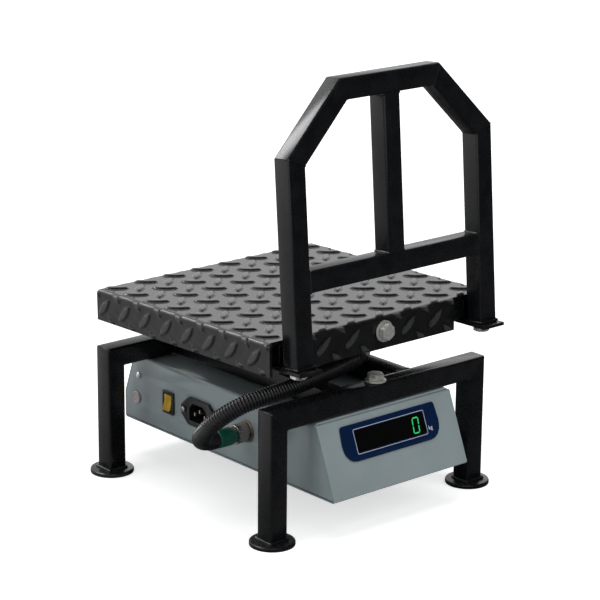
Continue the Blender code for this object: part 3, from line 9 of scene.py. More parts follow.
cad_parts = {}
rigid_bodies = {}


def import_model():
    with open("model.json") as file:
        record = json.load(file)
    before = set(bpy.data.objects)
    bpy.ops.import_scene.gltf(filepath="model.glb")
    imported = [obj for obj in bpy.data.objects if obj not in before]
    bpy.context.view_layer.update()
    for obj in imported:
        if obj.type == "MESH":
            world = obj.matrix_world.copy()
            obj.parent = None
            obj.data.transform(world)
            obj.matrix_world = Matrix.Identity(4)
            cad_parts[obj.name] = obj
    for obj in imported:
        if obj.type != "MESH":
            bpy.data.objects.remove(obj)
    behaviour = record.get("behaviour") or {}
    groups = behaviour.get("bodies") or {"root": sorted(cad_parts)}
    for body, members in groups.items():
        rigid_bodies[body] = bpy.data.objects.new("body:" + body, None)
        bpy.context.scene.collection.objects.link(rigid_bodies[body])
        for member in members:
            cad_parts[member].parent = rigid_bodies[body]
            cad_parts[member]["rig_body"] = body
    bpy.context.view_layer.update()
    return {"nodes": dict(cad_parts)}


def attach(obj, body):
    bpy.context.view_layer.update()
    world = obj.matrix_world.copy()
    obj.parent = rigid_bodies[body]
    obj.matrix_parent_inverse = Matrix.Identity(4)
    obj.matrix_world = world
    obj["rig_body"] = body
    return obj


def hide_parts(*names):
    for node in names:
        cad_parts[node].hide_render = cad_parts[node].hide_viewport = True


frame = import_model()

scene = bpy.context.scene
scene.view_settings.view_transform = "Standard"

# ---------------------------------------------------------------------------------------------
# Camera
# The scale is seen from a little above, turned so that its left side and its front both show.
# ---------------------------------------------------------------------------------------------

CAMERA_AZIMUTH = radians(-40.9525)
CAMERA_ELEVATION = radians(16.4781)
CAMERA_ROLL = radians(0.5171)
CAMERA_DISTANCE = 2.1057
CAMERA_TARGET = Vector((0.01177, 0.00445, 0.16596))

back = Vector((
    sin(CAMERA_AZIMUTH) * cos(CAMERA_ELEVATION),
    -cos(CAMERA_AZIMUTH) * cos(CAMERA_ELEVATION),
    sin(CAMERA_ELEVATION),
))
level_right = Vector((cos(CAMERA_AZIMUTH), sin(CAMERA_AZIMUTH), 0))
level_up = level_right.cross(-back)
right = level_right * cos(CAMERA_ROLL) + level_up * sin(CAMERA_ROLL)
up = level_up * cos(CAMERA_ROLL) - level_right * sin(CAMERA_ROLL)
camera_data = bpy.data.cameras.new("camera")
camera_data.sensor_width = 36
camera_data.lens = 140.574
camera_data.clip_start = 0.05
camera_data.clip_end = 30
camera = bpy.data.objects.new("camera", camera_data)
scene.collection.objects.link(camera)
camera.matrix_world = Matrix((right, up, back)).transposed().to_4x4()
camera.location = CAMERA_TARGET + back * CAMERA_DISTANCE
scene.camera = camera

# ---------------------------------------------------------------------------------------------
# Cable conduit
# A ribbed black polyethylene tube over the load cell's cable. It leaves the round plug on the box,
# turns back on itself, and climbs behind the front bar to the gland on the cell.
# ---------------------------------------------------------------------------------------------


def new_material(name):
    """A material with one Principled BSDF. Returns the material, its node tree and the shader."""
    made = bpy.data.materials.new(name)
    made.use_nodes = True
    return made, made.node_tree, made.node_tree.nodes["Principled BSDF"]


def feed(tree, node, inputs):
    """Gives each of some inputs of a node a fixed value, or wires it to the output that feeds it."""
    for key, value in inputs.items():
        if isinstance(value, bpy.types.NodeSocket):
            tree.links.new(value, node.inputs[key])
        else:
            node.inputs[key].default_value = value


def add_node(tree, kind, inputs=None, **settings):
    """Adds a shader node to a tree, with its settings and its inputs."""
    node = tree.nodes.new(f"ShaderNode{kind}")
    for name, value in settings.items():
        setattr(node, name, value)
    feed(tree, node, inputs or {})
    return node


def calculate(tree, operation, *terms):
    """The result of one sum on some terms."""
    return add_node(tree, "Math", dict(enumerate(terms)), operation=operation).outputs[0]


def spread_over(tree, value, source, target=(0, 1), **settings):
    """A value carried from one range over to another, and held at its ends."""
    limits = dict(zip(("From Min", "From Max", "To Min", "To Max"), (*source, *target)))
    return add_node(tree, "MapRange", {"Value": value, **limits}, **settings).outputs["Result"]


def mottle(tree, scale, detail=2, roughness=0.5):
    """A noise fixed to the piece."""
    place = add_node(tree, "TexCoord").outputs["Object"]
    inputs = {"Vector": place, "Scale": scale, "Detail": detail, "Roughness": roughness}
    return add_node(tree, "TexNoise", inputs).outputs["Fac"]


def facing_up(tree, low, high):
    """A mask that grows from 0 to 1 while the upward part of the normal goes from low to high."""
    normal = add_node(tree, "NewGeometry").outputs["Normal"]
    return spread_over(tree, add_node(tree, "SeparateXYZ", {0: normal}).outputs["Z"], (low, high))


def colour_ramp(tree, value, dark, light, low=0.0, high=1.0):
    """A colour that goes from dark to light while a value goes from low to high."""
    ramp = add_node(tree, "ValToRGB", {0: value})
    for stop, position, colour in zip(ramp.color_ramp.elements, (low, high), (dark, light)):
        stop.position, stop.color = position, (*colour, 1)
    return ramp.outputs[0]


def laid_over(tree, share, under, over):
    """One colour laid over another by a share."""
    return add_node(tree, "Mix", {0: share, 6: under, 7: (*over, 1)}, data_type="RGBA").outputs[2]


def make_surface_group():
    """Fine unevenness that every finish here has. Tone is a slow drift of colour, Grain a fine one, and
    Dust gathers on faces that look upwards. Height is the sum of a fine and a coarse noise."""
    group = bpy.data.node_groups.new("surface_life", "ShaderNodeTree")
    for name in ("Fine scale", "Coarse scale", "Dust"):
        group.interface.new_socket(name=name, in_out="INPUT", socket_type="NodeSocketFloat")
    for name in ("Tone", "Grain", "Dust mask", "Height"):
        group.interface.new_socket(name=name, in_out="OUTPUT", socket_type="NodeSocketFloat")
    start, end = group.nodes.new("NodeGroupInput").outputs, group.nodes.new("NodeGroupOutput")
    coarse = mottle(group, start["Coarse scale"], detail=4)
    fine = mottle(group, start["Fine scale"])
    specks = spread_over(group, mottle(group, 420, detail=6, roughness=0.7), (0.5, 0.75))
    settled = calculate(group, "MULTIPLY", facing_up(group, 0.5, 0.95), specks)
    feed(group, end, {
        "Tone": coarse,
        "Grain": fine,
        "Dust mask": calculate(group, "MULTIPLY", settled, start["Dust"]),
        "Height": calculate(group, "MULTIPLY_ADD", fine, 0.35, coarse),
    })
    return group


DUST_COLOUR = (0.32, 0.31, 0.29)
RELIEF_DEPTH = 0.0004
surface_life = make_surface_group()


def living_finish(name, dark, light, rough, spread, metallic=0.0, specular=0.5, bump=0.1, fine=900,
                  coarse=60, dust=0.3):
    """A finish between two close colours, whose gloss drifts about a middle roughness by a spread."""
    made, tree, shader = new_material(name)
    scales = {"Fine scale": fine, "Coarse scale": coarse, "Dust": dust}
    life = add_node(tree, "Group", scales, node_tree=surface_life).outputs
    colour = colour_ramp(tree, life["Tone"], dark, light, 0.35, 0.68)
    relief = {"Strength": bump, "Distance": RELIEF_DEPTH, "Height": life["Height"]}
    feed(tree, shader, {
        "Base Color": laid_over(tree, life["Dust mask"], colour, DUST_COLOUR),
        "Roughness": spread_over(tree, life["Grain"], (0.3, 0.7), (rough - spread, rough + spread)),
        "Metallic": metallic,
        "Specular IOR Level": specular,
        "Normal": add_node(tree, "Bump", relief).outputs["Normal"],
    })
    return made


def mesh_piece(name, points, quads, material, smooth=True):
    """A piece from an array of points and an array of four-cornered faces. A face whose last two
    corners are the same point is a triangle."""
    mesh = bpy.data.meshes.new(name)
    faces = [tuple(q[:3]) if q[2] == q[3] else tuple(q) for q in np.asarray(quads).tolist()]
    mesh.from_pydata(np.asarray(points, float).reshape(-1, 3).tolist(), [], faces)
    mesh.validate()
    mesh.update()
    piece = bpy.data.objects.new(name, mesh)
    scene.collection.objects.link(piece)
    mesh.materials.append(material)
    if smooth:
        mesh.shade_smooth()
    return piece


def grid_quads(rows, columns, close_rows=False, close_columns=False):
    """Corner numbers of the faces of a grid of points, which may run round in either direction."""
    r = np.arange(rows if close_rows else rows - 1)
    c = np.arange(columns if close_columns else columns - 1)
    r, c = (a.ravel() for a in np.meshgrid(r, c, indexing="ij"))
    r2, c2 = (r + 1) % rows, (c + 1) % columns
    return np.stack([r * columns + c, r2 * columns + c, r2 * columns + c2, r * columns + c2], 1)


def tube_frames(line):
    """Directions along a line of points, and two directions across it that don't twist. Each across
    direction is the last one, less its part along the new direction."""
    along = np.gradient(line, axis=0)
    along /= np.linalg.norm(along, axis=1)[:, None]
    first = np.cross(along[0], (0.3, 0.2, 1.0))
    across = np.empty_like(line)
    last = first / np.linalg.norm(first)
    for k, t in enumerate(along):
        last = last - t * (last @ t)
        last /= np.linalg.norm(last)
        across[k] = last
    return along, across, np.cross(along, across)


def swept_round(line, radii, sides):
    """Rings of a round profile carried along a line: point = line + radius * (cos a, sin a) in the plane
    across the line."""
    _, side, other = tube_frames(line)
    a = np.linspace(0, 2 * pi, sides, endpoint=False)
    ring = side[:, None] * np.cos(a)[None, :, None] + other[:, None] * np.sin(a)[None, :, None]
    return line[:, None] + ring * np.asarray(radii)[:, None, None]


def closed_sweep(name, rings, material):
    """A closed tube from rings of points, with a fan over each end."""
    rows, sides = rings.shape[:2]
    points = np.concatenate([rings.reshape(-1, 3), rings[0].mean(0)[None], rings[-1].mean(0)[None]])
    quads = grid_quads(rows, sides, close_columns=True)[:, ::-1]
    k = np.arange(sides)
    nxt = (k + 1) % sides
    low, high = rows * sides, rows * sides + 1
    start = np.stack([np.full(sides, low), nxt, k, k], 1)
    top = (rows - 1) * sides
    end = np.stack([np.full(sides, high), top + k, top + nxt, top + nxt], 1)
    return mesh_piece(name, points, np.concatenate([quads, start, end]), material)


STAND_SETBACK = 0.00445
CONDUIT_RADIUS = 0.0079
CONDUIT_BOOT = 0.021  # smooth length next to the plug
RIB_PITCH = 0.00262
RIB_DEPTH = 0.0011
CONDUIT_ROUTE = np.array((
    (-112.8, -34.6, 71.0), (-119.0, -34.6, 71.1), (-127.5, -35.4, 73.2), (-135.0, -41.0, 79.0),
    (-137.0, -50.0, 88.0), (-135.0, -58.0, 97.0), (-128.0, -68.0, 107.0), (-118.0, -77.0, 115.0),
    (-106.0, -83.5, 119.6), (-92.0, -88.2, 122.8), (-78.0, -91.4, 125.7), (-62.0, -93.0, 128.4),
    (-45.0, -93.2, 130.8), (-28.0, -93.2, 133.2), (-12.0, -93.2, 136.0), (-3.6, -92.2, 137.2),
    (1.8, -88.6, 137.5), (3.9, -83.6, 137.6), (4.0, -78.6, 137.6),
)) / 1000 + np.array((0, STAND_SETBACK, 0))


def smooth_line(corners, step):
    """Points a fixed step apart on the Catmull-Rom curve through some corners."""
    ends = np.concatenate([[2 * corners[0] - corners[1]], corners, [2 * corners[-1] - corners[-2]]])
    t = np.linspace(0, 1, 40, endpoint=False)[:, None]
    spans = []
    for k in range(1, len(ends) - 2):
        p0, p1, p2, p3 = ends[k - 1:k + 3]
        spans.append(0.5 * (2 * p1 + (p2 - p0) * t + (2 * p0 - 5 * p1 + 4 * p2 - p3) * t**2
                            + (3 * p1 - p0 - 3 * p2 + p3) * t**3))
    dense = np.concatenate([*spans, corners[-1:]])
    gone = np.concatenate([[0], np.cumsum(np.linalg.norm(np.diff(dense, axis=0), axis=1))])
    stations = np.linspace(0, gone[-1], max(2, round(gone[-1] / step) + 1))
    return np.stack([np.interp(stations, gone, dense[:, a]) for a in range(3)], 1), stations


conduit_line, conduit_run = smooth_line(CONDUIT_ROUTE, RIB_PITCH / 8)
wave = 0.5 - 0.5 * np.cos(2 * pi * (conduit_run - CONDUIT_BOOT) / RIB_PITCH)
ribbed = np.clip((conduit_run - CONDUIT_BOOT) / 0.002, 0, 1)
conduit_radii = CONDUIT_RADIUS - RIB_DEPTH * (1 - wave**0.6) * ribbed
conduit_radii[:3] -= (0.0009, 0.0004, 0.0001)  # the rim is rounded off

ribbed_plastic = living_finish("ribbed_polyethylene", (0.0085, 0.0085, 0.0095), (0.014, 0.014, 0.0155), 0.28,
                               0.06, specular=0.4, bump=0.12, dust=0.12)
conduit = closed_sweep("conduit_tube", swept_round(conduit_line, conduit_radii, 36), ribbed_plastic)
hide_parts("conduit")
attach(conduit, "base")

# ---------------------------------------------------------------------------------------------
# Floor and light
# A pale floor that runs off past the view. Soft lamps light the object from overhead, from the front
# and from the left. Only gloss picks up a fourth lamp, behind, two dull cloths, and a dark sheet of
# painted shade under the box that stands for the floor's shadow there.
# ---------------------------------------------------------------------------------------------

FLOOR_HALF = 12.0
FLOOR_GREY = (0.8, 0.8, 0.8, 1)
FLOOR_GLOW = (0.6, 0.9)  # near the object and far from it
FLOOR_IN_GLOSS = (0.07, 0.64)  # away from the bright side of the room and towards it
BRIGHT_SIDE = (-0.65, 0.76, 0)
WORLD_FILL = 0.22


def seen_by(tree, *kinds):
    """A mask that is 1 for any of some kinds of ray."""
    rays = add_node(tree, "LightPath").outputs
    mask = rays[kinds[0]]
    for kind in kinds[1:]:
        mask = calculate(tree, "MAXIMUM", mask, rays[kind])
    return mask


def make_stage():
    """A flat floor as one square. The eye and glass see it as near white under the shadow, and gloss sees
    it bright on the window's side of the room and dim on the other."""
    made, tree, shader = new_material("floor_paper")
    tree.nodes.remove(shader)
    place = add_node(tree, "TexCoord").outputs["Object"]
    reach = add_node(tree, "VectorMath", {0: place}, operation="LENGTH").outputs["Value"]
    growth = spread_over(tree, reach, (0.4, 1.8), FLOOR_GLOW, interpolation_type="SMOOTHSTEP")
    glow = calculate(tree, "MULTIPLY", seen_by(tree, "Is Camera Ray", "Is Transmission Ray"), growth)
    along = add_node(tree, "VectorMath", {0: place, 1: BRIGHT_SIDE}, operation="DOT_PRODUCT").outputs["Value"]
    gloss = spread_over(tree, along, (-0.2, 0.55), FLOOR_IN_GLOSS, interpolation_type="SMOOTHSTEP")
    paper = add_node(tree, "AddShader", {
        0: add_node(tree, "BsdfDiffuse", {"Color": FLOOR_GREY}).outputs[0],
        1: add_node(tree, "Emission", {"Strength": glow}).outputs[0],
    })
    choice = add_node(tree, "MixShader", {
        0: seen_by(tree, "Is Glossy Ray"),
        1: paper.outputs[0],
        2: add_node(tree, "Emission", {"Strength": gloss}).outputs[0],
    })
    feed(tree, tree.nodes["Material Output"], {"Surface": choice.outputs[0]})
    corners = [(FLOOR_HALF * x, FLOOR_HALF * y, 0) for x, y in ((-1, -1), (1, -1), (1, 1), (-1, 1))]
    floor = mesh_piece("floor", corners, [(0, 1, 2, 3)], made, smooth=False)


def make_cloth(name, middle, across, up, strength):
    """A dull sheet that only gloss sees, from its middle and two half sides."""
    made, tree, shader = new_material(name)
    tree.nodes.remove(shader)
    glow = add_node(tree, "Emission", {"Strength": strength}).outputs[0]
    feed(tree, tree.nodes["Material Output"], {"Surface": glow})
    middle, across, up = (np.array(a, float) for a in (middle, across, up))
    corners = [middle - across - up, middle + across - up, middle + across + up, middle - across + up]
    cloth = mesh_piece(name, corners, [(0, 1, 2, 3)], made, smooth=False)
    for kind in ("camera", "diffuse", "transmission", "volume_scatter", "shadow"):
        setattr(cloth, f"visible_{kind}", False)


def make_lamp(name, place, aim_height, side, power, in_gloss=True, in_matte=True):
    """A soft square lamp that faces a point on the object's upright axis."""
    data = bpy.data.lights.new(name, "AREA")
    data.shape = "SQUARE"
    data.size, data.energy = side, power
    lamp = bpy.data.objects.new(name, data)
    scene.collection.objects.link(lamp)
    lamp.location = place
    aim = Vector((0, 0, aim_height)) - Vector(place)
    lamp.rotation_euler = aim.to_track_quat("-Z", "Y").to_euler()
    lamp.visible_glossy = in_gloss
    lamp.visible_diffuse = in_matte


def make_world():
    """Even white light: full white to the eye, to glass and to gloss, weaker as the fill."""
    world = bpy.data.worlds.new("studio")
    scene.world = world
    world.use_nodes = True
    tree = world.node_tree
    seen = seen_by(tree, "Is Camera Ray", "Is Transmission Ray", "Is Glossy Ray")
    level = spread_over(tree, seen, (0, 1), (WORLD_FILL, 1))
    feed(tree, tree.nodes["Background"], {"Color": (1, 1, 1, 1), "Strength": level})


make_stage()
make_cloth("front_cloth", (1.5, -1.75, 1.0), (2.43, 2.08, 0), (0, 0, 2.2), strength=0.035)
# Painted shade: a dark sheet that only gloss sees, under the box, standing for the floor's shadow there,
# which the floor's glossy look leaves out.
make_cloth("painted_shade_below", (0, 0, 0.001), (0.11, 0, 0), (0, 0.13, 0), strength=0.02)
make_cloth("ceiling_cloth", (0, -0.9, 2.4), (2.4, 0, 0), (0, 2.1, 0), strength=0.04)
make_world()
make_lamp("window_lamp", (-2.2, 0.4, 1.5), aim_height=0.12, side=1.5, power=14)
make_lamp("rear_lamp", (-0.81, 1.62, 1.82), aim_height=0.2, side=1.1, power=46, in_matte=False)
make_lamp("top_lamp", (-0.2, 0.0, 2.7), aim_height=0, side=2.2, power=52, in_gloss=False)
make_lamp("front_lamp", (0.9, -2.2, 1.9), aim_height=0.1, side=1.8, power=28, in_gloss=False)

# ---------------------------------------------------------------------------------------------
# Tube stand
# 19 mm square steel tube, mitred and welded, on four round foot plates. The whole stand is powder
# coated black after welding, so the coat runs over the weld beads.
# ---------------------------------------------------------------------------------------------


JOINED_WITHIN = 3e-6
FLAT_WITHIN, SHARP_FROM = radians(0.6), radians(30)


def eased(node, width, material, segments=2):
    """A copy of a CAD piece with its loose triangles joined, its flats made whole and its sharp edges
    rounded over a width. It stands for that piece."""
    source = frame["nodes"][node]
    tool = bmesh.new()
    tool.from_mesh(source.data)
    bmesh.ops.remove_doubles(tool, verts=tool.verts, dist=JOINED_WITHIN)
    bmesh.ops.dissolve_limit(tool, angle_limit=FLAT_WITHIN, verts=tool.verts, edges=tool.edges)
    mesh = bpy.data.meshes.new(f"{node}_eased")
    tool.to_mesh(mesh)
    tool.free()
    mesh.materials.clear()
    mesh.materials.append(material)
    piece = bpy.data.objects.new(f"{node}_eased", mesh)
    scene.collection.objects.link(piece)
    mesh.shade_smooth()
    bevel = piece.modifiers.new("eased edges", "BEVEL")
    bevel.width = width
    bevel.segments = segments
    bevel.limit_method = "ANGLE"
    bevel.angle_limit = SHARP_FROM
    bevel.use_clamp_overlap = True
    bevel.harden_normals = True
    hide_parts(node)
    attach(piece, source["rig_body"])
    return piece


def kept(node, material):
    """A CAD piece shown as it is, in its own finish."""
    data = frame["nodes"][node].data
    data.materials.clear()
    data.materials.append(material)


def joined(parts):
    """One array of points and one of faces, from several."""
    points, quads, first = [], [], 0
    for part_points, part_quads in parts:
        points.append(part_points)
        quads.append(part_quads + first)
        first += len(part_points)
    return np.concatenate(points), np.concatenate(quads)


BEAD_PITCH, BEAD_RIPPLE = 0.0021, 0.13
BEAD_SWELL, SWELL_LENGTH = 0.28, 0.006
BEAD_SIDES = 8


def weld_bead(corners, radius, seed):
    """A closed bead round a ring of corners. Its radius is the given one times 1 + ripple cos(2 pi s / pitch)
    plus a slow random swell, where s is the distance run."""
    corners = np.asarray(corners, float)
    loop = np.concatenate([corners, corners[:1]])
    gone = np.concatenate([[0], np.cumsum(np.linalg.norm(np.diff(loop, axis=0), axis=1))])
    count = max(24, int(gone[-1] / (BEAD_PITCH / 5)))
    run = np.linspace(0, gone[-1], count, endpoint=False)
    line = np.stack([np.interp(run, gone, loop[:, a]) for a in range(3)], 1)
    for _ in range(4):
        line = (np.roll(line, 1, 0) + 2 * line + np.roll(line, -1, 0)) / 4
    chance = np.random.default_rng(seed)
    knots = chance.uniform(-BEAD_SWELL, BEAD_SWELL, max(6, int(gone[-1] / SWELL_LENGTH)))
    swell = np.interp(run, np.linspace(0, gone[-1], len(knots) + 1), np.append(knots, knots[0]))
    radii = radius * (1 + BEAD_RIPPLE * np.cos(2 * pi * run / BEAD_PITCH) + swell)
    rings = swept_round(line, radii, BEAD_SIDES)
    quads = grid_quads(count, BEAD_SIDES, close_rows=True, close_columns=True)
    return rings.reshape(-1, 3), quads[:, ::-1]


def square_ring(centre, x_axis, y_axis, half_x, half_y):
    """Corners of a rectangle round a centre."""
    centre, across, up = np.asarray(centre, float), x_axis * half_x, y_axis * half_y
    return [centre + across * a + up * b for a, b in ((-1, -1), (1, -1), (1, 1), (-1, 1))]


TUBE, TUBE_EDGE = 0.019, 0.0017
COAT_BLACKS = (0.0036, 0.004, 0.0048), (0.0066, 0.0072, 0.0084)
powder_coat = living_finish("black_powder_coat", *COAT_BLACKS, 0.25, 0.05, specular=0.36, bump=0.05,
                            fine=1300, coarse=70, dust=0.1)
weld_paint = living_finish("paint_over_welds", *COAT_BLACKS, 0.14, 0.06, bump=0.25, fine=1500,
                           coarse=420, dust=0.05)
STAND_LEGS = {
    "front_left": (-0.116, -0.10955), "front_right": (0.116, -0.10955),
    "rear_left": (-0.116, 0.11845), "rear_right": (0.116, 0.11845),
}
STAND_TOP, FOOT_TOP = 0.121, 0.004
RAIL_MIDDLES, RAIL_ENDS = (-0.0405, 0.0405), (-0.09985, 0.10875)
OUTER_SINK, INNER_SINK, FACE_SINK, RAIL_SINK = 0.0014, 0.0006, 0.0004, 0.001  # beads' depth in the tubes
FOOT_BEAD, MITRE_BEAD, RAIL_BEAD = 0.0016, 0.0006, 0.0012
for name in (*(f"{corner}_leg" for corner in STAND_LEGS), "front_bar", "rear_bar", "left_rail", "right_rail"):
    eased(name, TUBE_EDGE, powder_coat, segments=3)
for name in [f"{corner}_foot" for corner in STAND_LEGS]:
    eased(name, 0.0008, powder_coat)

X, Y, Z = np.eye(3)
half = TUBE / 2
stand_beads = []
for seed, (x, y) in enumerate(STAND_LEGS.values()):
    side = np.sign(x)
    foot = square_ring((x, y, FOOT_TOP + 0.0006), X, Y, half, half)
    stand_beads.append(weld_bead(foot, FOOT_BEAD, seed))
    outer = (x + side * (half - OUTER_SINK), STAND_TOP - OUTER_SINK)
    inner = (x - side * (half - INNER_SINK), STAND_TOP - TUBE + INNER_SINK)
    mitre = [(corner[0], y + back * (half - FACE_SINK), corner[1])
             for corner, back in ((outer, -1), (outer, 1), (inner, 1), (inner, -1))]
    stand_beads.append(weld_bead(mitre, MITRE_BEAD, 10 + seed))
for seed, x in enumerate(RAIL_MIDDLES):
    for y in RAIL_ENDS:
        ring = square_ring((x, y, STAND_TOP - half), X, Z, half - RAIL_SINK, half - RAIL_SINK)
        stand_beads.append(weld_bead(ring, RAIL_BEAD, 20 + seed))
stand_welds = mesh_piece("stand_welds", *joined(stand_beads), weld_paint)
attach(stand_welds, "base")

# ---------------------------------------------------------------------------------------------
# Hexagon bolts and washers
# Bright zinc-plated M8 bolts with chamfered heads. Two hang the box from the stand's bars, one holds
# the pan's front flange, and two hold the guard's feet from below.
# ---------------------------------------------------------------------------------------------

zinc = living_finish("zinc_plating", (0.6, 0.6, 0.57), (0.8, 0.8, 0.76), 0.34, 0.09, metallic=0.7,
                     bump=0.18, fine=1700, coarse=420, dust=0.1)
for name in ("hanger_front_bolt", "hanger_rear_bolt", "pan_bolt", "guard_left_bolt", "guard_right_bolt"):
    eased(name, 0.0004, zinc)
for name in ("hanger_front_washer", "hanger_rear_washer", "pan_washer"):
    eased(name, 0.0003, zinc)

# ---------------------------------------------------------------------------------------------
# Indicator box
# A tray and a cover folded from 1.2 mm steel sheet, in a pale blue-grey stove enamel. The front panel
# slopes back for the display, and the tray's lips show along the lower edge.
# ---------------------------------------------------------------------------------------------

enamel = living_finish("blue_grey_enamel", (0.25, 0.3, 0.312), (0.274, 0.326, 0.338), 0.19, 0.03,
                       bump=0.05, fine=1500, coarse=26, dust=0.1)
for name in ("box_body", "box_chassis"):
    eased(name, 0.0007, enamel)
eased("wall_screw", 0.0003, zinc)
board = living_finish("green_solder_mask", (0.01, 0.1, 0.04), (0.015, 0.13, 0.06), 0.4, 0.05, coarse=200)
kept("main_board", board)

# ---------------------------------------------------------------------------------------------
# Display
# A navy film printed from behind, stuck on the sloping panel, with a tinted window for the digits. A
# pale line runs round the window. The last digit is lit green, with the unit in small white letters.
# ---------------------------------------------------------------------------------------------

BOX_LEAN = radians(22)
PANEL_FOOT = np.array((0, -0.14705, 0.0373))
PANEL_UP = np.array((0, sin(BOX_LEAN), cos(BOX_LEAN)))
PANEL_OUT = np.array((0, -cos(BOX_LEAN), sin(BOX_LEAN)))
FILM_FRONT = 0.0011
PRINT_LIFT = 0.00006


def on_panel(across, rise, out):
    """World points of places on the sloping panel: across it, up its slope and out of it."""
    across, rise, out = np.broadcast_arrays(across, rise, out)
    return PANEL_FOOT + across[..., None] * X + rise[..., None] * PANEL_UP + out[..., None] * PANEL_OUT


def flat_finish(name, colour, rough, glow=0.0):
    """A printed or moulded finish with a faint mottle. A glow adds light of its own colour."""
    made, tree, shader = new_material(name)
    clouds = mottle(tree, 700)
    feed(tree, shader, {
        "Base Color": colour_ramp(tree, clouds, [0.9 * c for c in colour], colour),
        "Roughness": spread_over(tree, clouds, (0, 1), (0.85 * rough, 1.15 * rough)),
        "Emission Color": (*colour, 1),
        "Emission Strength": glow,
    })
    return made


def rounded_outline(low, high, radius):
    """Points round a rectangle with round corners, as arrays of across and rise."""
    quarter = np.linspace(0, pi / 2, 8)
    across, rise = [], []
    for turn, (x, y) in enumerate(((1, 1), (-1, 1), (-1, -1), (1, -1))):
        angle = quarter + turn * pi / 2
        across.append((high if x > 0 else low)[0] + radius * (np.cos(angle) - x))
        rise.append((high if y > 0 else low)[1] + radius * (np.sin(angle) - y))
    return np.concatenate(across), np.concatenate(rise)


navy_film = living_finish("navy_film", (0.001, 0.0105, 0.045), (0.0014, 0.013, 0.055), 0.22, 0.03,
                          specular=0.4, bump=0.03, fine=1100, coarse=60, dust=0.06)
eased("display_overlay", 0.0002, navy_film)
kept("display_window", flat_finish("tinted_window", (0.0012, 0.0014, 0.0016), 0.1))
kept("digit_block", flat_finish("digit_block_plastic", (0.01, 0.01, 0.01), 0.5))

line_ink = flat_finish("pale_line_ink", (0.42, 0.47, 0.56), 0.35)
outer = rounded_outline((-0.0417, 0.0350), (0.0412, 0.0571), 0.0016)
inner = rounded_outline((-0.0411, 0.0356), (0.0406, 0.0565), 0.0011)
across, rise = np.stack([outer, inner], 1)
film_line = mesh_piece("window_border", on_panel(across, rise, FILM_FRONT + PRINT_LIFT),
                       grid_quads(*across.shape, close_columns=True)[:, ::-1], line_ink, smooth=False)
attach(film_line, "base")

DIGIT_LEFT, DIGIT_LOW = 0.0247, 0.0383
DIGIT_WIDTH, DIGIT_HEIGHT, DIGIT_STROKE, DIGIT_SLANT = 0.0078, 0.0144, 0.0012, 0.09
DIGIT_TIP = 0.00022  # what is left free at both ends of a segment


def zero_segments():
    """Flat six-sided bars of a seven-segment nought, as (points, faces). Each bar runs between two corners
    of the figure, narrowed to a point at both ends, and the figure leans to the right."""
    size = (DIGIT_WIDTH - DIGIT_STROKE, (DIGIT_HEIGHT - DIGIT_STROKE) / 2)
    ends = np.array((((0, 2), (1, 2)), ((1, 2), (1, 1)), ((1, 1), (1, 0)),
                     ((0, 0), (1, 0)), ((0, 1), (0, 0)), ((0, 2), (0, 1)))) * size
    along = ends[:, 1] - ends[:, 0]
    along /= np.linalg.norm(along, axis=1)[:, None]
    side = np.stack([-along[:, 1], along[:, 0]], 1) * DIGIT_STROKE / 2
    begin, finish = ends[:, 0] + along * DIGIT_TIP, ends[:, 1] - along * DIGIT_TIP
    widest = along * DIGIT_STROKE / 2
    points = np.stack([begin, begin + widest + side, finish - widest + side, finish,
                       finish - widest - side, begin + widest - side], 1)
    points = points.reshape(-1, 2) + (DIGIT_LEFT + DIGIT_STROKE / 2, DIGIT_LOW + DIGIT_STROKE / 2)
    points[:, 0] += (points[:, 1] - DIGIT_LOW) * DIGIT_SLANT
    base = 6 * np.arange(len(ends))[:, None]
    faces = np.concatenate([base + (0, 5, 4, 3), base + (0, 3, 2, 1)])
    return points, faces


lit_green = flat_finish("lit_green", (0.012, 0.4, 0.1), 0.4, glow=0.8)
points, faces = zero_segments()
lit_digit = mesh_piece("lit_digit", on_panel(points[:, 0], points[:, 1], FILM_FRONT + PRINT_LIFT), faces,
                       lit_green, smooth=False)
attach(lit_digit, "base")

white_ink = flat_finish("white_ink", (0.75, 0.78, 0.82), 0.4)
unit_text = bpy.data.curves.new("unit_lettering", "FONT")
unit_text.body = "kg"
unit_text.size = 0.0052
unit_text.materials.append(white_ink)
unit_letters = bpy.data.objects.new("unit_lettering", unit_text)
scene.collection.objects.link(unit_letters)
unit_letters.matrix_world = Matrix((X, PANEL_UP, PANEL_OUT)).transposed().to_4x4()
unit_letters.location = Vector(on_panel(0.0428, 0.0385, FILM_FRONT + PRINT_LIFT))
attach(unit_letters, "base")

# ---------------------------------------------------------------------------------------------
# Power switch
# A snap-in rocker switch: a black bezel with an amber rocker that tips on its own pins.
# ---------------------------------------------------------------------------------------------

black_plastic = living_finish("black_moulding", (0.006, 0.006, 0.0065), (0.0105, 0.0105, 0.011), 0.34, 0.05,
                              bump=0.06, fine=1600, coarse=150, dust=0.12)
amber = living_finish("amber_rocker", (0.45, 0.27, 0.008), (0.57, 0.36, 0.015), 0.24, 0.04, bump=0.03,
                      fine=900, coarse=140, dust=0.0)
amber.node_tree.nodes["Principled BSDF"].inputs["Transmission Weight"].default_value = 0.12
eased("switch_bezel", 0.0004, black_plastic)
eased("switch_rocker", 0.0004, amber, segments=3)

# ---------------------------------------------------------------------------------------------
# Mains inlet
# A black moulded inlet with three plated pins, held by two screws through its pointed ears.
# ---------------------------------------------------------------------------------------------

INLET_MIDDLE = (0.03495, 0.0694)
PIN_SIZE = (0.0022, 0.0042)  # thickness and width
PIN_ROOT, PIN_TIP, PIN_WEDGE = -0.0672, -0.0797, 0.0016
PIN_SPREAD = ((-0.007, -0.002), (0, 0.002), (0.007, -0.002))  # of each pin from the inlet's middle


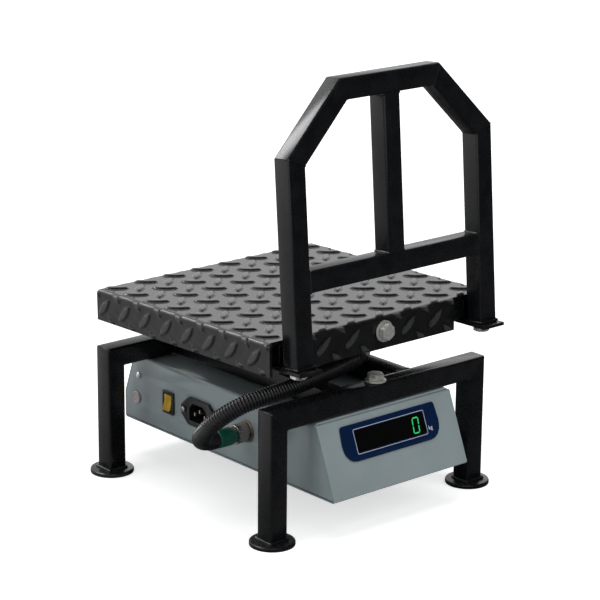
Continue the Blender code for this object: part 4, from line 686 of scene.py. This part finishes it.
def pin_blade(y, z):
    """A flat pin with a wedge-shaped tip: a rectangle carried along X that shrinks over its last part."""
    stations = np.array((PIN_ROOT, PIN_TIP + PIN_WEDGE, PIN_TIP))
    scale = np.array(((1, 1), (1, 1), (0.55, 0.72)))
    corner = np.array(((-1, -1), (1, -1), (1, 1), (-1, 1))) / 2
    across = scale[:, None] * corner[None] * PIN_SIZE
    points = np.empty((3, 4, 3))
    points[..., 0] = stations[:, None]
    points[..., 1:] = across + (y, z)
    sides = grid_quads(3, 4, close_columns=True)
    return points.reshape(-1, 3), np.concatenate([sides, [(8, 9, 10, 11)]])


pin_metal = living_finish("plated_pin", (0.5, 0.48, 0.44), (0.72, 0.7, 0.66), 0.22, 0.05, metallic=1.0,
                          bump=0.05, coarse=500, dust=0.0)
eased("inlet_body", 0.0005, black_plastic)
pins = [pin_blade(INLET_MIDDLE[0] + y, INLET_MIDDLE[1] + z) for y, z in PIN_SPREAD]
inlet_pins = mesh_piece("inlet_pins", *joined(pins), pin_metal, smooth=False)
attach(inlet_pins, "base")
# Painted shade: a darker copy of the zinc plating, giving the inlet's two screws the shade that lies on them.
shaded_zinc = living_finish("shaded_zinc", (0.2, 0.2, 0.19), (0.34, 0.33, 0.31), 0.34, 0.08, metallic=0.8,
                          bump=0.1, coarse=420, dust=0.0)
for name in ("inlet_front_screw", "inlet_rear_screw"):
    eased(name, 0.0003, shaded_zinc)

# ---------------------------------------------------------------------------------------------
# Load cell connector
# A round threaded socket with a notched nut, its bright coupling ring, and the plug with a green
# grip, all on the box's left wall. A rose-coloured plug closes a spare hole farther back.
# ---------------------------------------------------------------------------------------------

aged_nickel = living_finish("aged_nickel", (0.19, 0.15, 0.12), (0.27, 0.22, 0.18), 0.3, 0.05, metallic=1.0,
                            bump=0.03, fine=2600, coarse=160, dust=0.0)
bright_nickel = living_finish("bright_nickel", (0.34, 0.3, 0.28), (0.46, 0.42, 0.39), 0.24, 0.05,
                              metallic=1.0, bump=0.03, fine=2600, coarse=160, dust=0.0)
green_grip = living_finish("green_grip", (0.0, 0.075, 0.045), (0.0, 0.11, 0.068), 0.36, 0.05, bump=0.08,
                           fine=1500, coarse=260, dust=0.05)
rose_cap = living_finish("rose_cap", (0.34, 0.29, 0.29), (0.43, 0.38, 0.38), 0.34, 0.05, bump=0.06,
                         coarse=300, dust=0.05)
eased("cell_socket", 0.0002, aged_nickel)
eased("cell_socket_nut", 0.0003, aged_nickel)
eased("coupling_ring", 0.0002, bright_nickel)
eased("cell_plug", 0.0003, green_grip)
eased("hole_plug", 0.0003, rose_cap)

# ---------------------------------------------------------------------------------------------
# Load cell and its plates
# A milled aluminium bar that bends at two thin places, bolted at its front end to the stand's lower
# plate and at its rear end to the platform's flat bar. A plated gland takes its cable.
# ---------------------------------------------------------------------------------------------

cell_metal = living_finish("milled_aluminium", (0.55, 0.56, 0.57), (0.66, 0.67, 0.68), 0.34, 0.06,
                           metallic=1.0, bump=0.1, fine=1800, coarse=300, dust=0.2)
plate_steel = living_finish("mild_steel", (0.035, 0.033, 0.031), (0.075, 0.07, 0.066), 0.42, 0.08,
                            metallic=0.6, bump=0.15, coarse=160, dust=0.2)
cap_screws = living_finish("blackened_screws", (0.02, 0.02, 0.02), (0.035, 0.035, 0.035), 0.38, 0.08,
                           metallic=0.7, bump=0.1, coarse=400, dust=0.1)
eased("load_cell", 0.0004, cell_metal)
eased("cell_lower_plate", 0.0004, plate_steel)
eased("cell_upper_plate", 0.0004, plate_steel)
for name in ("cell_lower_screw_1", "cell_lower_screw_2", "cell_upper_screw_1", "cell_upper_screw_2"):
    eased(name, 0.0003, cap_screws)
eased("cell_gland", 0.0003, bright_nickel)

# ---------------------------------------------------------------------------------------------
# Platform frame
# Four 19 mm tubes welded in a rectangle under the pan, and two flat bars that reach out in front to
# the guard's feet. Coated with the pan.
# ---------------------------------------------------------------------------------------------

for name in ("frame_front_tube", "frame_rear_tube", "frame_left_tube", "frame_right_tube"):
    eased(name, TUBE_EDGE, powder_coat, segments=3)
for name in ("guard_left_bar", "guard_right_bar"):
    eased(name, 0.0006, powder_coat)

# ---------------------------------------------------------------------------------------------
# Weighing pan
# One sheet of chequered steel, folded down on four sides, with raised bars rolled into it in two
# crossed directions. The front flange is cut away at both corners. Black paint, rubbed on the top.
# ---------------------------------------------------------------------------------------------

PAN_SAG = radians(1.45)
PAN_ORIGIN = np.array((-0.002, -0.00055, 0.1796))
PAN_V = np.array((0, cos(PAN_SAG), -sin(PAN_SAG)))
PAN_N = np.array((0, sin(PAN_SAG), cos(PAN_SAG)))
PAN_HALF_X, PAN_HALF_Y = 0.1275, 0.120
PAN_FLANGE, PAN_SHEET, PAN_BEND = 0.0285, 0.003, 0.0035
NOTCH_START = 0.0845
BAR_HALF_LENGTH, BAR_HALF_WIDTH = 0.01325, 0.0044
BAR_RISE, BAR_SHOULDER = 0.0017, 0.0019
BAR_PITCH = np.array((0.0325, 0.0299))
BAR_START = np.array((0.0156, -0.0106))
BAR_SLIPS = {"left": (0.0039, 0), "right": (-0.0039, 0), "front": (-0.003, 0.012), "rear": (0, -0.0039)}
PAN_BOLT = (0.0, -PAN_HALF_Y - 0.0128)
BOLT_SPACE = 0.013
FOLD_WAVE = 0.00014
PAN_STEP = 0.00096
WORN_PAINT = (0.034, 0.035, 0.036)


def smooth(t):
    """3 t^2 - 2 t^3 between 0 and 1."""
    t = np.clip(t, 0, 1)
    return t * t * (3 - 2 * t)


def bar_relief(u, v, slip=(0, 0), bolt=None):
    """Height of the raised bars at places of the unfolded sheet. In a bar, a is the place along it over its
    half length and b the place across it. Its edge lies at half width * (1 - a^2), and the height rises
    smoothly from that edge inwards over the width of its shoulder."""
    height = np.zeros(np.broadcast(u, v).shape)
    for slant, shift in ((-1, 0.0), (1, 0.5)):
        start = BAR_START + slip + shift * BAR_PITCH
        du = (u - start[0]) - BAR_PITCH[0] * np.round((u - start[0]) / BAR_PITCH[0])
        dv = (v - start[1]) - BAR_PITCH[1] * np.round((v - start[1]) / BAR_PITCH[1])
        a = (du + slant * dv) / sqrt(2) / BAR_HALF_LENGTH
        b = (dv - slant * du) / sqrt(2)
        inside = BAR_HALF_WIDTH * (1 - a**2) - np.abs(b)
        bar = BAR_RISE * smooth(inside / BAR_SHOULDER) * (1 - 0.12 * a**2)
        if bolt is not None:
            away_u, away_v = bolt[0] - (u - du), bolt[1] - (v - dv)
            nearest = np.clip((away_u + slant * away_v) / sqrt(2), -BAR_HALF_LENGTH, BAR_HALF_LENGTH)
            gap = np.hypot(away_u - nearest / sqrt(2), away_v - slant * nearest / sqrt(2))
            bar = np.where(gap < BOLT_SPACE, 0, bar)
        height = np.maximum(height, bar)
    return height


def stations(half, breaks=()):
    """Places across the sheet: even steps on the flat, and even angles round both bends."""
    flat = half - PAN_BEND
    ends = [-flat, *breaks, flat]
    spans = [np.linspace(a, b, max(2, round((b - a) / PAN_STEP) + 1))[:-1]
             for a, b in zip(ends, ends[1:])]
    bend = flat + PAN_BEND * np.sin(np.linspace(0, pi / 2, 7))
    return np.concatenate([-bend[::-1][:-1], *spans, bend])


def fold_waves(along, drop):
    """The folded sheet is a little wavy: h = A sin(2 pi s / 17 mm + 2.4 sin(2 pi d / 23 mm))
    cos(2 pi d / 15 mm), with s the place along the flange and d the drop."""
    bent = 2 * pi * along / 0.017 + 2.4 * np.sin(2 * pi * drop / 0.023)
    return FOLD_WAVE * np.sin(bent) * np.cos(2 * pi * drop / 0.015)


END_MARGIN, END_FADE, LOW_FADE, TOP_FADE = 0.0012, 0.0018, 0.0024, 0.0022


def flange_relief(side, along, drop):
    """Height of the bars and waves on one flange, from the place along it and the drop below the top. They
    die out at its cut ends and at its lower edge."""
    if side in ("left", "right"):
        sign = -1 if side == "left" else 1
        limit = PAN_HALF_Y - END_MARGIN
        height = bar_relief(sign * (PAN_HALF_X + drop), along, BAR_SLIPS[side])
    else:
        sign = -1 if side == "front" else 1
        limit = NOTCH_START - 0.0005 if side == "front" else PAN_HALF_X - END_MARGIN
        bolt = PAN_BOLT if side == "front" else None
        height = bar_relief(along, sign * (PAN_HALF_Y + drop), BAR_SLIPS[side], bolt)
    ends = smooth((limit - np.abs(along)) / END_FADE)
    return (height + fold_waves(along, drop)) * ends * smooth((PAN_FLANGE - drop) / LOW_FADE)


def pan_top(us, vs):
    """Points and bar heights over the pan's plan. A bend drops by R - sqrt(R^2 - t^2) at a distance t past
    the flat, and the lower of the two bends holds at a corner. Over the front bend the top's bars pass into
    the flange's. At the other bends they die out, and the flange's begin."""
    u, v = np.meshgrid(us, vs, indexing="ij")
    past_u = np.clip(np.abs(u) - (PAN_HALF_X - PAN_BEND), 0, PAN_BEND)
    past_v = np.clip(np.abs(v) - (PAN_HALF_Y - PAN_BEND), 0, PAN_BEND)
    past = np.maximum(past_u, past_v)
    on_side = past_u > past_v
    rise = np.sqrt(np.maximum(1 - (past / PAN_BEND)**2, 0))
    drop = PAN_BEND * (1 - rise)
    turn = np.arccos(np.clip(rise, 0, 1)) / (pi / 2)
    notch = (np.abs(u) > NOTCH_START) & (v < 0)
    margin_v = PAN_HALF_Y - PAN_BEND - np.abs(v)
    margin = np.minimum(PAN_HALF_X - PAN_BEND - np.abs(u), np.where((v > 0) | notch, margin_v, PAN_HALF_Y))
    side = np.where(u < 0, flange_relief("left", v, drop), flange_relief("right", v, drop))
    end = np.where(v < 0, flange_relief("front", u, drop), flange_relief("rear", u, drop))
    height = bar_relief(u, v) * smooth(margin / TOP_FADE) * (1 - smooth(turn))
    height += np.where(on_side, side, end) * smooth((turn - 0.3) / 0.5)
    out_u, out_v = np.sign(u) * past / PAN_BEND, np.sign(v) * past / PAN_BEND
    normal = np.stack([np.where(on_side, out_u, 0), np.where(on_side, 0, out_v), rise], -1)
    return np.stack([u, v, -drop], -1) + normal * height[..., None], height


# The top, less the two corners that are cut away for the guard's legs
pan_u = stations(PAN_HALF_X, (-NOTCH_START, NOTCH_START))
pan_v = stations(PAN_HALF_Y)
top_points, top_crest = pan_top(pan_u, pan_v)
columns = len(pan_v)
top_quads = grid_quads(len(pan_u), columns)
mid_u, mid_v = (pan_u[1:] + pan_u[:-1]) / 2, (pan_v[1:] + pan_v[:-1]) / 2
mid_u, mid_v = (a.ravel() for a in np.meshgrid(mid_u, mid_v, indexing="ij"))
cut_away = (np.abs(mid_u) > NOTCH_START) & (np.abs(mid_u) < PAN_HALF_X - PAN_BEND)
cut_away &= mid_v < -(PAN_HALF_Y - PAN_BEND)
skin_points, skin_crest = [top_points.reshape(-1, 3)], [top_crest.ravel()]
fold_at = np.maximum(np.abs(top_points[..., 0]) - PAN_HALF_X, np.abs(top_points[..., 1]) - PAN_HALF_Y)
skin_fold = [smooth(1 + fold_at.ravel() / PAN_BEND)]
skin_grime = [np.zeros(top_crest.size)]
skin_quads = [top_quads[~cut_away]]

# The four flanges, which hang from the top's borders
numbers = np.arange(len(pan_u) * columns).reshape(len(pan_u), columns)
drops = np.linspace(PAN_BEND, PAN_FLANGE, 24)[1:]
edges = {
    "left": (numbers[0], pan_v, (-1, 0, 0)), "right": (numbers[-1], pan_v, (1, 0, 0)),
    "front": (numbers[:, 0], pan_u, (0, -1, 0)), "rear": (numbers[:, -1], pan_u, (0, 1, 0)),
}
first = numbers.size
for side, (border, along, out) in edges.items():
    out = np.array(out, float)
    a, drop = np.meshgrid(along, drops)
    height = flange_relief(side, a, drop)
    face = np.empty((*a.shape, 3))
    across = PAN_HALF_X if out[0] else PAN_HALF_Y
    face[..., 0] = out[0] * across if out[0] else a
    face[..., 1] = out[1] * across if out[1] else a
    face[..., 2] = -drop
    skin_points.append((face + out * height[..., None]).reshape(-1, 3))
    skin_crest.append(height.ravel())
    skin_fold.append(smooth(2 - drop.ravel() / PAN_BEND))
    share = height.ravel() / BAR_RISE
    skin_grime.append(smooth((share - 0.05) / 0.4) * (1 - smooth((share - 0.5) / 0.45)))
    rows = np.concatenate([border[None], first + np.arange(a.size).reshape(a.shape)])
    first += a.size
    strip = np.stack([rows[:-1, :-1], rows[1:, :-1], rows[1:, 1:], rows[:-1, 1:]], -1).reshape(-1, 4)
    middle = (along[1:] + along[:-1]) / 2
    if side == "front":
        strip = strip.reshape(len(drops), -1, 4)[:, np.abs(middle) < NOTCH_START].reshape(-1, 4)
    skin_quads.append(strip if side in ("front", "right") else strip[:, ::-1])

# The plain inside, the lower edges and the cut edges
in_x, in_y = PAN_HALF_X - PAN_SHEET, PAN_HALF_Y - PAN_SHEET
cut_y, front, rear = -(PAN_HALF_Y - PAN_BEND), -PAN_HALF_Y, PAN_HALF_Y
low, sheet = -PAN_FLANGE, -PAN_SHEET


def wide_face(half, start, end):
    """A face that reaches as far to the left as to the right, between two places (y, z)."""
    return [(-half, *start), (-half, *end), (half, *end), (half, *start)]


wide_faces = np.array([
    wide_face(in_x, (-in_y, sheet), (in_y, sheet)),
    wide_face(in_x, (in_y, sheet), (in_y, low)),
    wide_face(in_x, (in_y, low), (rear, low)),
    wide_face(NOTCH_START, (-in_y, low), (-in_y, sheet)),
    wide_face(NOTCH_START, (front, low), (-in_y, low)),
])
left_faces = np.array([
    [(-in_x, front, low), (-in_x, in_y, low), (-in_x, in_y, sheet), (-in_x, front, sheet)],
    [(-PAN_HALF_X, front, low), (-PAN_HALF_X, rear, low), (-in_x, rear, low), (-in_x, front, low)],
    [(-PAN_HALF_X, front, low), (-in_x, front, low), (-in_x, front, sheet), (-PAN_HALF_X, front, sheet)],
    [(-in_x, cut_y, sheet), (-NOTCH_START, cut_y, sheet), (-NOTCH_START, cut_y, 0), (-in_x, cut_y, 0)],
    [(-NOTCH_START, front, low), (-NOTCH_START, front, -PAN_BEND), (-NOTCH_START, cut_y, 0),
     (-NOTCH_START, -in_y, low)],
])
inside = np.concatenate([wide_faces, left_faces, left_faces[:, ::-1] * (-1, 1, 1)])
skin_points.append(inside.reshape(-1, 3))
for values in (skin_crest, skin_fold, skin_grime):
    values.append(np.zeros(len(inside) * 4))
skin_quads.append(first + np.arange(len(inside) * 4).reshape(-1, 4))
local = np.concatenate(skin_points)
placed = PAN_ORIGIN + local[:, :1] * X + local[:, 1:2] * PAN_V + local[:, 2:] * PAN_N


def chequered_finish():
    """Black paint, rubbed paler on the flat and on the bars' crests, and dull along the folds. On the flanges
    grime dulls the sides of the bars."""
    made = living_finish("chequered_paint", (0.0045, 0.0047, 0.005), (0.0075, 0.0077, 0.008), 0.13, 0.04,
                         bump=0.06, fine=1000, coarse=75, dust=0.18)
    tree = made.node_tree
    shader = tree.nodes["Principled BSDF"]
    crest, fold, grime = (add_node(tree, "Attribute", attribute_name=name).outputs["Fac"]
                          for name in ("crest", "fold", "grime"))
    clouds = spread_over(tree, mottle(tree, 38, detail=7, roughness=0.65), (0.3, 0.7), (0.1, 0.55))
    rubbed = calculate(tree, "MULTIPLY", facing_up(tree, 0.86, 0.99), clouds)
    worn = calculate(tree, "MAXIMUM", rubbed, spread_over(tree, crest, (0.55, 0.95)))
    paint = shader.inputs["Base Color"].links[0].from_socket
    gloss = shader.inputs["Roughness"].links[0].from_socket
    feed(tree, shader, {
        "Base Color": laid_over(tree, worn, paint, WORN_PAINT),
        "Roughness": calculate(tree, "ADD", gloss, spread_over(tree, fold, (0, 1), (0, 0.34))),
        "Specular IOR Level": spread_over(tree, grime, (0, 1), (0.5, 0.05)),
    })
    return made


pan_skin = mesh_piece("pan_skin", placed, np.concatenate(skin_quads), chequered_finish())
for name, values in (("crest", np.concatenate(skin_crest) / BAR_RISE), ("fold", np.concatenate(skin_fold)),
                     ("grime", np.concatenate(skin_grime))):
    pan_skin.data.attributes.new(name, "FLOAT", "POINT").data.foreach_set("value", values)
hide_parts("weighing_pan")
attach(pan_skin, "platform")

# ---------------------------------------------------------------------------------------------
# Head guard
# Two legs, two sloping braces and a top bar of 19 mm tube, with a crossbar and a middle post, welded
# and ground. It leans back a little from the platform's front edge.
# ---------------------------------------------------------------------------------------------

GUARD_LEAN = radians(4.55)
GUARD_FOOT = np.array((0, -0.1312, 0.1604))
GUARD_UP = np.array((0, sin(GUARD_LEAN), cos(GUARD_LEAN)))
GUARD_BACK = np.array((0, cos(GUARD_LEAN), -sin(GUARD_LEAN)))
GUARD_HALF, GUARD_HEIGHT, GUARD_TOP_HALF, GUARD_KNEE = 0.116, 0.2355, 0.0565, 0.1765
CROSSBAR_TOP = 0.0815
for name in ("guard_left_leg", "guard_right_leg", "guard_left_brace", "guard_right_brace", "guard_top_bar",
             "guard_crossbar", "guard_post"):
    eased(name, TUBE_EDGE, powder_coat, segments=3)


def on_guard(x, up, back=0.0):
    """World place of a point of the guard's plane."""
    return GUARD_FOOT + x * X + up * GUARD_UP + back * GUARD_BACK


MITRE_BACK = TUBE * tan(pi / 8)  # how far a joint's inner corner lies back along the tube
MITRE_SINK, CORNER_SINK, END_CLEAR = 0.0005, 0.0016, 0.0002
KNEE_BEAD, SHOULDER_BEAD, LEG_BEAD, END_BEAD = 0.0007, 0.0006, 0.0012, 0.0013


def mitre_ring(outer, inner):
    """Corners of the joint between two tubes, from its outer and inner corner in the guard's plane. The bead
    is sunk a little into the tubes' faces, and deeper at the outer corner, which was ground."""
    outer, inner = np.asarray(outer, float), np.asarray(inner, float)
    step = (inner - outer) / np.linalg.norm(inner - outer)
    near, far = outer + step * CORNER_SINK, inner - step * MITRE_SINK
    places = ((near, -1), (near, 1), (far, 1), (far, -1))
    return [on_guard(*corner, back * (half - MITRE_SINK)) for corner, back in places]


guard_beads = []
for seed, side in enumerate((-1, 1)):
    knee = mitre_ring((side * GUARD_HALF, GUARD_KNEE), (side * (GUARD_HALF - TUBE), GUARD_KNEE - MITRE_BACK))
    shoulder = mitre_ring((side * GUARD_TOP_HALF, GUARD_HEIGHT),
                          (side * (GUARD_TOP_HALF - MITRE_BACK), GUARD_HEIGHT - TUBE))
    guard_beads += [weld_bead(knee, KNEE_BEAD, 40 + seed), weld_bead(shoulder, SHOULDER_BEAD, 50 + seed)]
    foot = square_ring(on_guard(side * (GUARD_HALF - half), 0.0008), X, GUARD_BACK, half, half)
    guard_beads.append(weld_bead(foot, LEG_BEAD, 60 + seed))
    middle = on_guard(side * (GUARD_HALF - TUBE - END_CLEAR), CROSSBAR_TOP - half)
    end = square_ring(middle, GUARD_BACK, GUARD_UP, half - RAIL_SINK, half - INNER_SINK)
    guard_beads.append(weld_bead(end, END_BEAD, 70 + seed))
for seed, up in enumerate((CROSSBAR_TOP + END_CLEAR, GUARD_HEIGHT - TUBE - END_CLEAR)):
    end = square_ring(on_guard(0, up), X, GUARD_BACK, half - INNER_SINK, half - RAIL_SINK)
    guard_beads.append(weld_bead(end, END_BEAD, 80 + seed))
guard_welds = mesh_piece("guard_welds", *joined(guard_beads), weld_paint)
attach(guard_welds, "platform")
